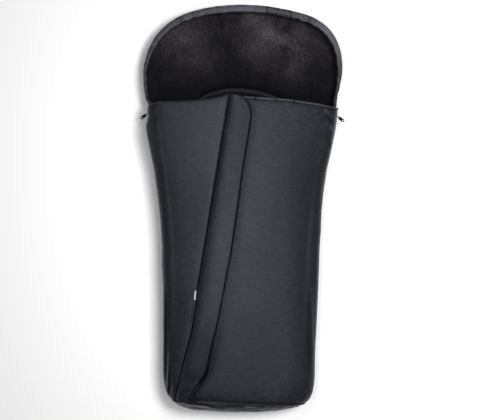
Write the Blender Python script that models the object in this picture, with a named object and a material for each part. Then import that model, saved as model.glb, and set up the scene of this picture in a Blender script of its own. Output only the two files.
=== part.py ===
"""A stroller footmuff lying on its back, in metres, with +Y towards the head and +Z up.

The back and the front cover are each a shell, wadding and a plush lining. Every layer is a loft of
plan outlines: a ring of the outline is inset and raised along a rounded side section. Two side zips
join the cover to the back, a third runs down the cover under a placket flap, and the cover folds
about the seam of the foot gusset.
"""

import math

import bmesh
import bpy
from mathutils import Matrix, Vector

# Plan of the bag
HEAD_SECTION = 0.2185
HEAD_HALF_WIDTH = 0.2325
HEAD_ROUND = 0.160
KNEE_FROM_MOUTH = 0.188
KNEE_HALF_WIDTH = 0.1964
FOOT_HALF_WIDTH = 0.180
FOOT_ROUND = 0.120
MOUTH_DROP = 0.024
MOUTH_RISE = 0.025
FOOT_SEAM_INSET = 0.0275
HEAD_EXPONENT = 2.4
FOOT_EXPONENT = 3.6

# Heights and the side section
WALL_TOP = 0.036
ZIP_BAND = 0.012
COVER_TOP = 0.096
BACK_ROUND = 0.036
COVER_ROUND = 0.060
SEAM_STRAIGHT = 0.006
MOUTH_PUFF = 0.006
SECTION_EXPONENT = 2.2

# Layers
SHELL = 0.0016
WADDING = 0.012
PLUSH = 0.005
SEAM_WADDING_SHARES = (0.25, 0.25, 0.5, 0.75, 0.92, 1.0)
SEAM_PLUSH_SHARES = (0.5, 0.5, 0.8, 1.0, 1.0, 1.0)
SEAT = 0.0003
FACING = 0.002
OVERRUN = 0.020

# Head rim
RIM_TOP_WIDTH = 0.017
RIM_SIDE_WIDTH = 0.010
RIM_HEIGHT = 0.014
RIM_MOUTH_GAP = 0.0020
RIM_EXPONENT = 2.6

# Harness panel and its slots
HARNESS_HALF_WIDTH = 0.106
HARNESS_ABOVE_MOUTH = 0.023
HARNESS_LENGTH = 0.375
HARNESS_ARCH = 0.040
HARNESS_THICKNESS = 0.006
HARNESS_EDGE = 0.002
HARNESS_EXPONENT = 2.6
SEAT_PANEL_INSET = 0.010
SLOT_WIDTH = 0.010
SHOULDER_SLOT_LENGTH = 0.140
SHOULDER_SLOT_SPREAD = 0.120
SHOULDER_SLOT_DROP = 0.125
CROTCH_SLOT_LENGTH = 0.070
CROTCH_SLOT_RISE = 0.065
BINDING = 0.0012
BINDING_FLANGE = 0.004
BINDING_LIP = 0.001

# Zips
TAPE = 0.001
CHAIN_THICKNESS = 0.0028
CHAIN_HALF_WIDTH = 0.0030
ROW_BEAD = 0.0016
TOOTH_PITCH = 0.008
COIL_SPLIT = 0.0003
SIDE_TAPE_LAP = 0.005
SIDE_STOP_LENGTH = 0.005
CENTRE_TAPE_WIDTH = 0.014
CHANNEL_HALF_WIDTH = 0.0064
CENTRE_TAPE_START = 0.008
CENTRE_ZIP_LENGTH = 0.620
CENTRE_ZIP_FOOT_GAP = 0.095
STOP_LENGTH = 0.005
STOP_EXTRA = 0.0006

# Sliders
SLIDER_LENGTH = 0.016
SLIDER_TOP_HALF_WIDTH = 0.0050
SLIDER_FOOT_HALF_WIDTH = 0.0045
SLIDER_CHAMFER = 0.002
SLIDER_PLATE = 0.0014
SLIDER_FLANGE = 0.0013
NECK_HALF_WIDTH = 0.0012
NECK_LENGTH = 0.005
NECK_TOP_SETBACK = 0.001
BRIDGE_HALF_LENGTH = 0.006
BRIDGE_LEG = 0.0016
BRIDGE_GAP = 0.0022
BRIDGE_THICKNESS = 0.0012
BRIDGE_HALF_WIDTH = 0.001
FUSE = 0.0003
SIDE_SLIDER_SETBACK = 0.015

# Pulls
WIRE = 0.0016
LOOP_LENGTH = 0.0096
LOOP_HALF_WIDTH = 0.0036
LOOP_TIP_HALF_WIDTH = 0.0023
TAB_LENGTH = 0.017
TAB_HALF_WIDTH = 0.0037
TAB_THICKNESS = 0.0022
TAB_EYE_RADIUS = 0.0012
TAB_EYE_SETBACK = 0.0024
TAB_HOLE_RADIUS = 0.0018
TAB_HOLE_SETBACK = 0.0040
SIDE_PULL_ANGLE = math.radians(30)
CENTRE_PULL_LENGTH = 0.022
CENTRE_PULL_HALF_WIDTH = 0.0038
CENTRE_PULL_WINDOW = 0.0085
CENTRE_PULL_LEG = 0.0018

# Placket flap
PLACKET_LEFT = 0.0307
PLACKET_ANGLE = math.radians(8.5308)
ZIP_FROM_SEAM = 0.024
FLAP_START = 0.003
FLAP_TACK_GAP = 0.012
FLAP_END_LENGTH = 0.066
FLAP_THICKNESS = 0.0024
FLAP_CROWN = 0.006
FLAP_END_CROWN = 0.002
FLAP_WIDTH = 0.060
FLAP_STATION_SHARES = (0.0, 0.012, 0.04, 0.08, 0.25, 0.5, 0.64, 0.74, 0.82, 0.91, 1.0)
FLAP_WIDTH_SHARES = (0.58, 0.72, 0.92, 0.98, 0.98, 1.05, 1.0, 0.91, 0.81, 0.66, 0.49)
FLAP_CROWN_EXPONENT = 0.7

# Tag
TAG_LENGTH = 0.028
TAG_WIDTH = 0.009
TAG_THICKNESS = 0.0008
TAG_FROM_TOP = 0.449

# Facets
HEAD_STEPS = 8
UPPER_STEPS = 2
SHOULDER_STEPS = 3
SHIN_STEPS = 7
FOOT_STEPS = 8
SECTION_STEPS = 4
ZIP_FOOT_STEPS = 3
RIM_STEPS = 10
FLAP_STEPS = 8
FLAP_END_STEPS = 4
COIL_SIDES = 8
MOUTH_PASSES = 4
DEPTH_PASSES = 30
ROUND_ANGLE = math.radians(40)

COVER_LENGTH = (CENTRE_TAPE_START + CENTRE_ZIP_LENGTH + CENTRE_ZIP_FOOT_GAP) * math.cos(PLACKET_ANGLE)
HALF_LENGTH = (HEAD_SECTION + COVER_LENGTH + FOOT_SEAM_INSET) / 2
WIDEST_Y = HALF_LENGTH - HEAD_ROUND
PLACKET_Y = HALF_LENGTH - HEAD_SECTION
MOUTH_SIDE_Y = PLACKET_Y - MOUTH_DROP
KNEE_Y = MOUTH_SIDE_Y - KNEE_FROM_MOUTH
FOOT_Y = FOOT_ROUND - HALF_LENGTH
SIDE_TAPER = (HEAD_HALF_WIDTH - KNEE_HALF_WIDTH) / (WIDEST_Y - KNEE_Y)
FOOT_SEAM_Y = FOOT_SEAM_INSET - HALF_LENGTH
COVER_EDGE = WALL_TOP + ZIP_BAND
TAPE_OFFSET = SHELL + SEAT
LINING_FLOOR = SHELL + WADDING + PLUSH + 2 * SEAT
HARNESS_TOP_Y = PLACKET_Y + HARNESS_ABOVE_MOUTH
HARNESS_FOOT_Y = HARNESS_TOP_Y - HARNESS_LENGTH
SHOULDER_SLOT_Y = HARNESS_TOP_Y - SHOULDER_SLOT_DROP
CROTCH_SLOT_Y = HARNESS_FOOT_Y + CROTCH_SLOT_RISE
FLAP_SPLIT = CENTRE_TAPE_START + CENTRE_ZIP_LENGTH + FLAP_TACK_GAP
FLAP_END = FLAP_SPLIT + FLAP_END_LENGTH
QUARTER = math.pi / 2
ROUND_ENDS = {
    "head": (HEAD_HALF_WIDTH, HEAD_ROUND, WIDEST_Y, HEAD_EXPONENT, 1),
    "foot": (FOOT_HALF_WIDTH, FOOT_ROUND, FOOT_Y, FOOT_EXPONENT, -1),
}


def clear_scene():
    for old in list(bpy.data.objects):
        bpy.data.objects.remove(old, do_unlink=True)


def make_material(name, colour, roughness, metallic=0.0):
    material = bpy.data.materials.new(name)
    material.use_nodes = True
    shader = material.node_tree.nodes["Principled BSDF"]
    shader.inputs["Base Color"].default_value = (*colour, 1.0)
    shader.inputs["Roughness"].default_value = roughness
    shader.inputs["Metallic"].default_value = metallic
    return material


def add_object(name, bm, material):
    """An object of the faces in bm, their normals turned outwards."""
    bmesh.ops.recalc_face_normals(bm, faces=bm.faces)
    mesh = bpy.data.meshes.new(name)
    bm.to_mesh(mesh)
    bm.free()
    mesh.materials.append(material)
    obj = bpy.data.objects.new(name, mesh)
    bpy.context.scene.collection.objects.link(obj)
    return obj


def shade_round(obj):
    obj.data.shade_smooth()
    obj.data.set_sharp_from_angle(angle=ROUND_ANGLE)
    return obj


def helper(obj):
    """Keeps a cutter out of the finished object."""
    obj.hide_render = True
    obj.display_type = "WIRE"
    return obj


def boolean(obj, cutter, operation):
    modifier = obj.modifiers.new(operation.lower(), "BOOLEAN")
    modifier.object = cutter
    modifier.operation = operation
    modifier.solver = "EXACT"
    return obj


def fused(obj, others):
    """One body of obj and the others, which go once they are joined."""
    for other in others:
        boolean(obj, other, "UNION")
    graph = bpy.context.evaluated_depsgraph_get()
    joined = bpy.data.meshes.new_from_object(obj.evaluated_get(graph))
    obj.modifiers.clear()
    obj.data = joined
    for other in others:
        bpy.data.objects.remove(other, do_unlink=True)
    return obj


def loops_solid(name, loops, material, closed=False):
    """Bands between loops of equal length, with a cap on each end or, if closed, a last band back."""
    bm = bmesh.new()
    rings = [[bm.verts.new(point) for point in loop] for loop in loops]
    pairs = list(zip(rings, rings[1:]))
    if closed:
        pairs.append((rings[-1], rings[0]))
    else:
        bm.faces.new(rings[0])
        bm.faces.new(rings[-1])
    for first, second in pairs:
        for i in range(len(first)):
            j = (i + 1) % len(first)
            bm.faces.new((first[i], first[j], second[j], second[i]))
    return add_object(name, bm, material)


def prism(name, outline, low, high, material=None, frame=Matrix.Identity(4)):
    """A plan outline raised from low to high, in its frame."""
    loops = [[frame @ Vector((x, y, z)) for x, y in outline] for z in (low, high)]
    return loops_solid(name, loops, material)


def box(name, low, high, material=None, frame=Matrix.Identity(4)):
    outline = ((low[0], low[1]), (high[0], low[1]), (high[0], high[1]), (low[0], high[1]))
    return prism(name, outline, low[2], high[2], material, frame)


def frame_of(origin, along, normal):
    """A frame with X along, Z on the normal and Y across them."""
    across = Vector(normal).cross(Vector(along)).normalized()
    axes = (Vector(along).normalized(), across, Vector(normal).normalized())
    return Matrix.Translation(origin) @ Matrix(axes).transposed().to_4x4()


def side_half_width(y):
    """Half the width between the round ends: a straight taper, then a curve that ends parallel."""
    if y >= KNEE_Y:
        return KNEE_HALF_WIDTH + SIDE_TAPER * (y - KNEE_Y)
    span = KNEE_Y - FOOT_Y
    t = (y - FOOT_Y) / span
    widening = (KNEE_HALF_WIDTH - FOOT_HALF_WIDTH) * (3 * t**2 - 2 * t**3)
    return FOOT_HALF_WIDTH + widening + (t**3 - t**2) * SIDE_TAPER * span


def plan_point(station, inset):
    """The right-hand outline at a station, moved in by inset."""
    kind, value = station
    if kind == "side":
        return side_half_width(value) - inset, value
    half_width, length, centre, exponent, direction = ROUND_ENDS[kind]
    power = 2 / exponent
    x = (half_width - inset) * math.cos(value) ** power if value < QUARTER else 0.0
    return x, centre + direction * (length - inset) * math.sin(value) ** power


def steps(start, end, count):
    """Values after start up to end."""
    return [start + (end - start) * i / count for i in range(1, count + 1)]


HEAD_STATIONS = [("head", QUARTER)] + [("head", a) for a in steps(QUARTER, 0, HEAD_STEPS)][:-1]
UPPER_STATIONS = [("side", WIDEST_Y)] + [("side", y) for y in steps(WIDEST_Y, MOUTH_SIDE_Y, UPPER_STEPS)]
BAG_STATIONS = (
    [("side", y) for y in steps(MOUTH_SIDE_Y, KNEE_Y, SHOULDER_STEPS)]
    + [("side", y) for y in steps(KNEE_Y, FOOT_Y, SHIN_STEPS)]
    + [("foot", a) for a in steps(0, QUARTER, FOOT_STEPS)]
)


def mouth_y(x):
    """The cover's top edge, peaked at the centre line."""
    return MOUTH_SIDE_Y + MOUTH_RISE * (1 - abs(x) / side_half_width(MOUTH_SIDE_Y))


def side_puff(y):
    """How far the cover's side swells past the zip, most at the mouth."""
    t = min(max((y - FOOT_Y) / (MOUTH_SIDE_Y - FOOT_Y), 0), 1)
    return MOUTH_PUFF * t**2


class Level:
    """One half of the bag: its side section from the edge at the zip to its flat middle."""

    def __init__(self, edge, straight, height, rounding, direction, puff):
        self.edge = edge
        self.straight = straight
        self.height = height
        self.rounding = rounding
        self.direction = direction
        self.puff = puff

    def section(self, ring, offset):
        """(inset, height, swell share) of a ring, the surface offset inwards from the outside."""
        if ring == 0:
            return offset, self.edge, 0
        angle = QUARTER * (ring - 1) / SECTION_STEPS
        power = 2 / SECTION_EXPONENT
        across = max(math.cos(angle), 0) ** power if angle < QUARTER else 0
        inset = offset + (self.rounding - offset) * (1 - across)
        height = self.straight + self.direction * (self.height - offset) * math.sin(angle) ** power
        return inset, height, math.sin(2 * angle) if self.puff else 0

    def point(self, station, ring, offset):
        inset, height, swell = self.section(ring, offset)
        x, y = plan_point(station, inset)
        if station[0] == "side":
            x += swell * side_puff(station[1])
        return x, y, height

    def mouth_point(self, ring, offset, setback):
        """The ring's end on the peaked top edge."""
        y = MOUTH_SIDE_Y
        for _ in range(MOUTH_PASSES):
            x, _, height = self.point(("side", y), ring, offset)
            y = mouth_y(x) - setback
        return x, y, height


BACK = Level(WALL_TOP, WALL_TOP - SEAM_STRAIGHT, WALL_TOP - SEAM_STRAIGHT, BACK_ROUND, -1, False)
COVER_STRAIGHT = COVER_EDGE + SEAM_STRAIGHT
COVER = Level(COVER_EDGE, COVER_STRAIGHT, COVER_TOP - COVER_STRAIGHT, COVER_ROUND, 1, True)
GUSSET = Level(WALL_TOP + SEAT, COVER_STRAIGHT, COVER_TOP - COVER_STRAIGHT, COVER_ROUND, 1, True)


def shell_offsets(ring, zipped):
    return 0, SHELL


def wadding_offsets(ring, zipped):
    start = SHELL + SEAT
    return start, start + WADDING * SEAM_WADDING_SHARES[ring]


def lining_offsets(ring, zipped):
    start = wadding_offsets(ring, zipped)[1] + SEAT
    if ring == 0 and zipped:
        start = TAPE_OFFSET + TAPE + SEAT
    return start, start + PLUSH * SEAM_PLUSH_SHARES[ring]


def facing_offsets(ring, zipped):
    return 0, lining_offsets(ring, zipped)[1]


def grid_solid(name, outer, inner, open_ends, material):
    """Both halves of a layer from its right half: rows of points from the edge to the flat middle.

    open_ends lists the columns where the layer is cut off and needs an end face.
    """
    bm = bmesh.new()
    made = {}

    def face(points, side):
        corners = []
        for x, y, z in points:
            key = (round(side * x, 7), round(y, 7), round(z, 7))
            if key not in made:
                made[key] = bm.verts.new((side * x, y, z))
            if made[key] not in corners:
                corners.append(made[key])
        if len(corners) > 2:
            bm.faces.new(corners)

    rows = [layer + [[(0.0, y, z) for _, y, z in layer[-1]]] for layer in (outer, inner)]
    if open_ends:
        for row, layer in zip(rows, (outer, inner)):
            peak = layer[-1][0][1] + mouth_y(0) - mouth_y(layer[-1][0][0])
            row[-1][0] = (0.0, peak, row[-1][0][2])
            if len(open_ends) > 1:
                row[-1][-1] = (0.0, peak - FACING, row[-1][-1][2])
    for side in (1, -1):
        for row in rows:
            for low, high in zip(row, row[1:]):
                for i in range(len(low) - 1):
                    face((low[i], low[i + 1], high[i + 1], high[i]), side)
        for i in range(len(outer[0]) - 1):
            face((outer[0][i], outer[0][i + 1], inner[0][i + 1], inner[0][i]), side)
        for i in open_ends:
            for k in range(len(rows[0]) - 1):
                face((rows[0][k][i], rows[0][k + 1][i], rows[1][k + 1][i], rows[1][k][i]), side)
    return add_object(name, bm, material)


def back_layer(name, offsets, first_ring, material):
    """A layer of the back: a tub with its floor, its side wall all round and the head section."""
    stations = HEAD_STATIONS + UPPER_STATIONS + BAG_STATIONS
    rings = range(first_ring, SECTION_STEPS + 2)
    grids = [
        [[BACK.point(s, ring, offsets(ring, True)[side]) for s in stations] for ring in rings]
        for side in (0, 1)
    ]
    return shade_round(grid_solid(name, *grids, (), material))


def front_layer(name, level, offsets, first_ring, setback, material):
    """A layer of the cover, open at the mouth, before it is cut into its panels."""
    zipped = level is COVER
    rings = range(first_ring, SECTION_STEPS + 2)
    grids = [
        [
            [level.mouth_point(ring, offsets(ring, zipped)[side], setback)]
            + [level.point(s, ring, offsets(ring, zipped)[side]) for s in BAG_STATIONS]
            for ring in rings
        ]
        for side in (0, 1)
    ]
    return shade_round(grid_solid(name, *grids, (0,), material))


def mouth_facing(name, material):
    """The turned top edge: it closes the cover's layers at the mouth."""
    grids = [
        [
            [
                COVER.mouth_point(ring, facing_offsets(ring, True)[side], setback)
                for setback in (0, FACING)
            ]
            for ring in range(SECTION_STEPS + 2)
        ]
        for side in (0, 1)
    ]
    return shade_round(grid_solid(name, *grids, (0, 1), material))


def cover_height(x, y):
    """Height of the cover's outside over a plan point, found by halving the inset's range."""
    low, high = 0.0, COVER_ROUND
    for _ in range(DEPTH_PASSES):
        middle = (low + high) / 2
        if y >= FOOT_Y:
            inside = abs(x) <= side_half_width(y) - middle
        else:
            across = abs(x) / (FOOT_HALF_WIDTH - middle)
            along = (FOOT_Y - y) / (FOOT_ROUND - middle)
            inside = across**FOOT_EXPONENT + along**FOOT_EXPONENT <= 1
        low, high = (middle, high) if inside else (low, middle)
    depth = (1 - low / COVER_ROUND) ** SECTION_EXPONENT
    return COVER.straight + COVER.height * (1 - depth) ** (1 / SECTION_EXPONENT)


PLACKET_DOWN = Vector((-math.sin(PLACKET_ANGLE), -math.cos(PLACKET_ANGLE), 0))
PLACKET_ACROSS = Vector((math.cos(PLACKET_ANGLE), -math.sin(PLACKET_ANGLE), 0))
PLACKET_ORIGIN = Vector((-PLACKET_LEFT, PLACKET_Y, 0))


def placket_point(down, across, height=0.0):
    """A point by its distances down the flap's seam and across from it."""
    return PLACKET_ORIGIN + PLACKET_DOWN * down + PLACKET_ACROSS * across + Vector((0, 0, height))


def placket_reach(across, y):
    """How far down the placket a line at this distance across meets y."""
    return (placket_point(0, across).y - y) / -PLACKET_DOWN.y


def panel_cutter(name, side, half_gap):
    """The plan of one panel: its edge follows the centre zip, then the short seam below it."""
    edge = ZIP_FROM_SEAM + side * half_gap
    seam = ZIP_FROM_SEAM + side * SEAT / 2
    zip_end = CENTRE_TAPE_START + CENTRE_ZIP_LENGTH + STOP_LENGTH + SEAT
    foot = FOOT_SEAM_Y + SEAT / 2
    far = side * (HEAD_HALF_WIDTH + OVERRUN)
    outline = [
        placket_point(-HEAD_ROUND, edge).xy,
        placket_point(zip_end, edge).xy,
        placket_point(zip_end, seam).xy,
        placket_point(placket_reach(seam, foot), seam).xy,
        (far, foot),
        (far, HALF_LENGTH),
    ]
    return helper(prism(name, outline, WALL_TOP - OVERRUN, COVER_TOP + OVERRUN))


def gusset_cutter():
    reach = HEAD_HALF_WIDTH + OVERRUN
    low = (-reach, -HALF_LENGTH - OVERRUN, 0)
    high = (reach, FOOT_SEAM_Y - SEAT / 2, COVER_TOP + OVERRUN)
    return helper(box("gusset_region", low, high))


def make_front(materials):
    """The cover's panels and the foot gusset, each of three layers, and the facings."""
    layers = (
        ("shell", shell_offsets, 0, CHANNEL_HALF_WIDTH, materials["shell"]),
        ("wadding", wadding_offsets, 1, CENTRE_TAPE_WIDTH + SEAT, materials["wadding"]),
        ("lining", lining_offsets, 0, CHANNEL_HALF_WIDTH, materials["plush"]),
    )
    setback = FACING + SEAT
    foot_region = gusset_cutter()
    made = {}
    for side, side_name in ((-1, "left"), (1, "right")):
        for layer, offsets, first_ring, half_gap, material in layers:
            cutter = panel_cutter(f"{side_name}_{layer}_region", side, half_gap)
            name = f"front_{side_name}_{layer}"
            made[name] = front_layer(name, COVER, offsets, first_ring, setback, material)
            boolean(made[name], cutter, "INTERSECT")
            if layer == "shell":
                name = f"front_{side_name}_facing"
                made[name] = boolean(mouth_facing(name, material), cutter, "INTERSECT")
    for layer, offsets, _, _, material in layers:
        name = f"foot_gusset_{layer}"
        made[name] = front_layer(name, GUSSET, offsets, 0, setback, material)
        boolean(made[name], foot_region, "INTERSECT")
    return made


def slot_places():
    """(name, centre x, centre y, length) of the harness slots."""
    return (
        ("shoulder_left", -SHOULDER_SLOT_SPREAD / 2, SHOULDER_SLOT_Y, SHOULDER_SLOT_LENGTH),
        ("shoulder_right", SHOULDER_SLOT_SPREAD / 2, SHOULDER_SLOT_Y, SHOULDER_SLOT_LENGTH),
        ("crotch", 0.0, CROTCH_SLOT_Y, CROTCH_SLOT_LENGTH),
    )


def slot_binding(name, x, y, length, material):
    """A sleeve that lines a slot from the back face to the harness panel, with a flange on the panel."""
    inner = (SLOT_WIDTH / 2, length / 2)
    top = LINING_FLOOR + SEAT + HARNESS_THICKNESS + SEAT
    rings = (
        (0, SEAT),
        (BINDING, SEAT),
        (BINDING, top),
        (BINDING + BINDING_FLANGE, top),
        (BINDING + BINDING_FLANGE, top + BINDING_LIP),
        (0, top + BINDING_LIP),
    )
    loops = []
    for grow, z in rings:
        half_x, half_y = inner[0] + grow, inner[1] + grow
        corners = ((-half_x, -half_y), (half_x, -half_y), (half_x, half_y), (-half_x, half_y))
        loops.append([(x + dx, y + dy, z) for dx, dy in corners])
    return loops_solid(name, loops, material, closed=True)


def seat_box(name, grow, low, high, material=None):
    """The plan of the seat panel, inside the harness panel's outline, raised from low to high."""
    reach = HARNESS_HALF_WIDTH - SEAT_PANEL_INSET + grow
    foot = HARNESS_FOOT_Y + SEAT_PANEL_INSET - grow
    head = HARNESS_TOP_Y - HARNESS_ARCH + grow
    return box(name, (-reach, foot, low), (reach, head, high), material)


def make_back(materials):
    """The back's layers, the seat panel let into them, the harness panel and the bound slots."""
    shell = back_layer("back_shell", shell_offsets, 0, materials["shell"])
    wadding = back_layer("back_wadding", wadding_offsets, 1, materials["wadding"])
    lining = back_layer("back_lining", lining_offsets, 0, materials["plush"])
    seat_region = helper(seat_box("seat_region", SEAT / 2, -OVERRUN, WALL_TOP))
    boolean(shell, seat_region, "DIFFERENCE")
    boolean(lining, seat_region, "DIFFERENCE")
    seat_shell = seat_box("seat_panel_shell", -SEAT / 2, 0, SHELL, materials["shell"])
    lining_low = LINING_FLOOR - PLUSH
    seat_lining = seat_box("seat_panel_lining", -SEAT / 2, lining_low, LINING_FLOOR, materials["plush"])
    pieces = [wadding, harness_panel(materials["plush"]), seat_shell, seat_lining]
    for name, x, y, length in slot_places():
        half_x = SLOT_WIDTH / 2 + BINDING + SEAT
        half_y = length / 2 + BINDING + SEAT
        low = (x - half_x, y - half_y, -OVERRUN)
        cutter = helper(box(f"{name}_slot", low, (x + half_x, y + half_y, WALL_TOP)))
        for layer in pieces:
            boolean(layer, cutter, "DIFFERENCE")
        slot_binding(f"{name}_slot_binding", x, y, length, materials["binding"])


def harness_panel(material):
    """The arched plush panel on the back's lining."""
    shoulder = HARNESS_TOP_Y - HARNESS_ARCH
    power = 2 / HARNESS_EXPONENT
    arch = [
        (
            HARNESS_HALF_WIDTH * math.copysign(abs(math.cos(a)) ** power, math.cos(a)),
            shoulder + HARNESS_ARCH * math.sin(a) ** power,
        )
        for a in [0.0] + steps(0, math.pi, 2 * HEAD_STEPS)[:-1]
    ]
    arch.append((-HARNESS_HALF_WIDTH, shoulder))
    outline = [(-HARNESS_HALF_WIDTH, HARNESS_FOOT_Y), (HARNESS_HALF_WIDTH, HARNESS_FOOT_Y)] + arch
    low = LINING_FLOOR + SEAT
    panel = prism("harness_panel", outline, low, low + HARNESS_THICKNESS, material)
    edge = panel.modifiers.new("edge", "BEVEL")
    edge.width = HARNESS_EDGE
    edge.segments = 2
    return shade_round(panel)


def make_head_rim(material):
    """The padded band round the head, seated on the back's wall."""
    stations = HEAD_STATIONS + UPPER_STATIONS
    stations[-1] = ("side", MOUTH_SIDE_Y + RIM_MOUTH_GAP)
    half = []
    for station in stations:
        y = plan_point(station, 0)[1]
        share = min(max((y - WIDEST_Y) / HEAD_ROUND, 0), 1)
        half_width = (RIM_SIDE_WIDTH + (RIM_TOP_WIDTH - RIM_SIDE_WIDTH) * share) / 2
        loop = []
        for i in range(RIM_STEPS):
            angle = 2 * math.pi * (i + 0.5) / RIM_STEPS
            power = 2 / RIM_EXPONENT
            across = math.copysign(abs(math.cos(angle)) ** power, math.cos(angle))
            up = math.copysign(abs(math.sin(angle)) ** power, math.sin(angle))
            x, y = plan_point(station, half_width * (1 - across))
            loop.append((x, y, WALL_TOP + SEAT + RIM_HEIGHT / 2 * (1 + up)))
        half.append(loop)
    left = [[(-x, y, z) for x, y, z in loop] for loop in half[:0:-1]]
    return shade_round(loops_solid("head_rim", left + half, material))


def side_sweep(name, side, stations, profile, material):
    """A strip along the side of the bag: profile points are (inset, height)."""
    loops = []
    for station in stations:
        loop = []
        for inset, z in profile:
            x, y = plan_point(station, inset)
            loop.append((side * x, y, z))
        loops.append(loop)
    return loops_solid(name, loops, material)


def coil_profile(centre_inset, centre_z, half_inset, half_z):
    angles = [2 * math.pi * (i + 0.5) / COIL_SIDES for i in range(COIL_SIDES)]
    widen = 1 / math.cos(math.pi / COIL_SIDES)
    return [
        (centre_inset + half_inset * widen * math.cos(a), centre_z + half_z * widen * math.sin(a))
        for a in angles
    ]


SIDE_CHAIN_Z = WALL_TOP + ZIP_BAND / 2
TAPE_MIDDLE = TAPE_OFFSET + TAPE / 2
SIDE_SLIDER_Y = MOUTH_SIDE_Y - SIDE_SLIDER_SETBACK
SIDE_SLIDER_NECK_Y = SIDE_SLIDER_Y + SLIDER_LENGTH / 2 - NECK_TOP_SETBACK - NECK_LENGTH


def make_side_zip(side, side_name, materials):
    """Tapes and coils of one side zip, back half and cover half, and its bottom stop."""
    foot = [("foot", a) for a in steps(0, QUARTER, FOOT_STEPS)][:ZIP_FOOT_STEPS]
    sides = [s for s in BAG_STATIONS if s[0] == "side"]
    tape_start = ("side", MOUTH_SIDE_Y - FACING - 2 * SEAT)
    coil_start = ("side", SIDE_SLIDER_NECK_Y - 2 * SEAT)
    made = {}
    coil_half = (CHAIN_HALF_WIDTH - COIL_SPLIT / 2) / 2
    for half_name, direction, edge in (("back", -1, WALL_TOP), ("front", 1, COVER_EDGE)):
        coil_z = SIDE_CHAIN_Z + direction * (COIL_SPLIT / 2 + coil_half)
        near = SIDE_CHAIN_Z + direction * (CHAIN_HALF_WIDTH + SEAT)
        far = edge + direction * SIDE_TAPE_LAP
        tape = [
            (TAPE_OFFSET, near),
            (TAPE_OFFSET + TAPE, near),
            (TAPE_OFFSET + TAPE, far),
            (TAPE_OFFSET, far),
        ]
        coil = coil_profile(TAPE_MIDDLE, coil_z, CHAIN_THICKNESS / 2, coil_half)
        name = f"{side_name}_zip_{half_name}_tape"
        made[name] = side_sweep(name, side, [tape_start] + sides + foot, tape, materials["tape"])
        name = f"{side_name}_zip_{half_name}_coil"
        path = [coil_start] + sides + foot[:-1]
        made[name] = shade_round(side_sweep(name, side, path, coil, materials["zip"]))
    turn = foot[-1][1] - foot[-2][1]
    seat_turn = turn * SEAT / SIDE_STOP_LENGTH
    ends = [("foot", foot[-2][1] + seat_turn), ("foot", foot[-2][1] + turn / 2)]
    depth = CHAIN_THICKNESS / 2 + STOP_EXTRA
    height = CHAIN_HALF_WIDTH
    corners = ((-1, -1), (1, -1), (1, 1), (-1, 1))
    profile = [(TAPE_MIDDLE + i * depth, SIDE_CHAIN_Z + j * height) for i, j in corners]
    name = f"{side_name}_zip_bottom_stop"
    made[name] = side_sweep(name, side, ends, profile, materials["zip"])
    return made


CENTRE_CHAIN_Z = COVER_TOP - TAPE_MIDDLE
CENTRE_SLIDER_DOWN = CENTRE_TAPE_START + SLIDER_LENGTH / 2 + STOP_LENGTH / 2


def centre_frame(down):
    """A frame on the centre zip: X up the zip, Y across it, Z away from the cover."""
    return frame_of(placket_point(down, ZIP_FROM_SEAM, CENTRE_CHAIN_Z), -PLACKET_DOWN, (0, 0, 1))


def teeth_row(name, side, material):
    """A bead with its teeth and the top stop above the slider; the two rows' teeth alternate."""
    frame = centre_frame(0)
    reach = CHAIN_HALF_WIDTH - ROW_BEAD
    tip = side * -(reach - SEAT)
    root = side * reach
    back = side * CHAIN_HALF_WIDTH
    start = CENTRE_SLIDER_DOWN + NECK_LENGTH + NECK_TOP_SETBACK - SLIDER_LENGTH / 2 + 2 * SEAT
    end = CENTRE_TAPE_START + CENTRE_ZIP_LENGTH
    half = TOOTH_PITCH / 2
    phase = half if side > 0 else 0
    count = int((end - start - phase) / TOOTH_PITCH)
    front = [(-CENTRE_TAPE_START, root)]
    for i in range(count):
        near = start + phase + i * TOOTH_PITCH
        far = near + half - SEAT
        front += [(-near, root), (-near, tip), (-far, tip), (-far, root)]
    outline = front + [(-end, root), (-end, back), (-CENTRE_TAPE_START, back)]
    depth = CHAIN_THICKNESS / 2
    row = prism(name, outline, -depth, depth, material, frame)
    stop_end = SLIDER_LENGTH / 2 + SEAT - CENTRE_SLIDER_DOWN
    low = (stop_end, min(root, back), -depth - STOP_EXTRA)
    high = (FUSE - CENTRE_TAPE_START, max(root, back), depth + STOP_EXTRA)
    return fused(row, [box("top_stop", low, high, material, frame)])


def make_centre_zip(materials):
    """Tapes, teeth and bottom stop of the zip under the flap."""
    made = {}
    frame = centre_frame(0)
    end = CENTRE_TAPE_START + CENTRE_ZIP_LENGTH
    for side, side_name in ((1, "left"), (-1, "right")):
        across = sorted((side * (CHAIN_HALF_WIDTH + SEAT), side * CENTRE_TAPE_WIDTH))
        name = f"centre_zip_{side_name}_tape"
        low = (-end - STOP_LENGTH, across[0], -TAPE / 2)
        high = (-CENTRE_TAPE_START, across[1], TAPE / 2)
        made[name] = box(name, low, high, materials["tape"], frame)
        name = f"centre_zip_{side_name}_teeth"
        made[name] = teeth_row(name, side, materials["zip"])
    depth = CHAIN_THICKNESS / 2 + STOP_EXTRA
    low = (-end - STOP_LENGTH, -CHAIN_HALF_WIDTH, -depth)
    high = (-end - SEAT, CHAIN_HALF_WIDTH, depth)
    name = "centre_zip_bottom_stop"
    made[name] = box(name, low, high, materials["zip"], frame)
    return made


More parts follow.
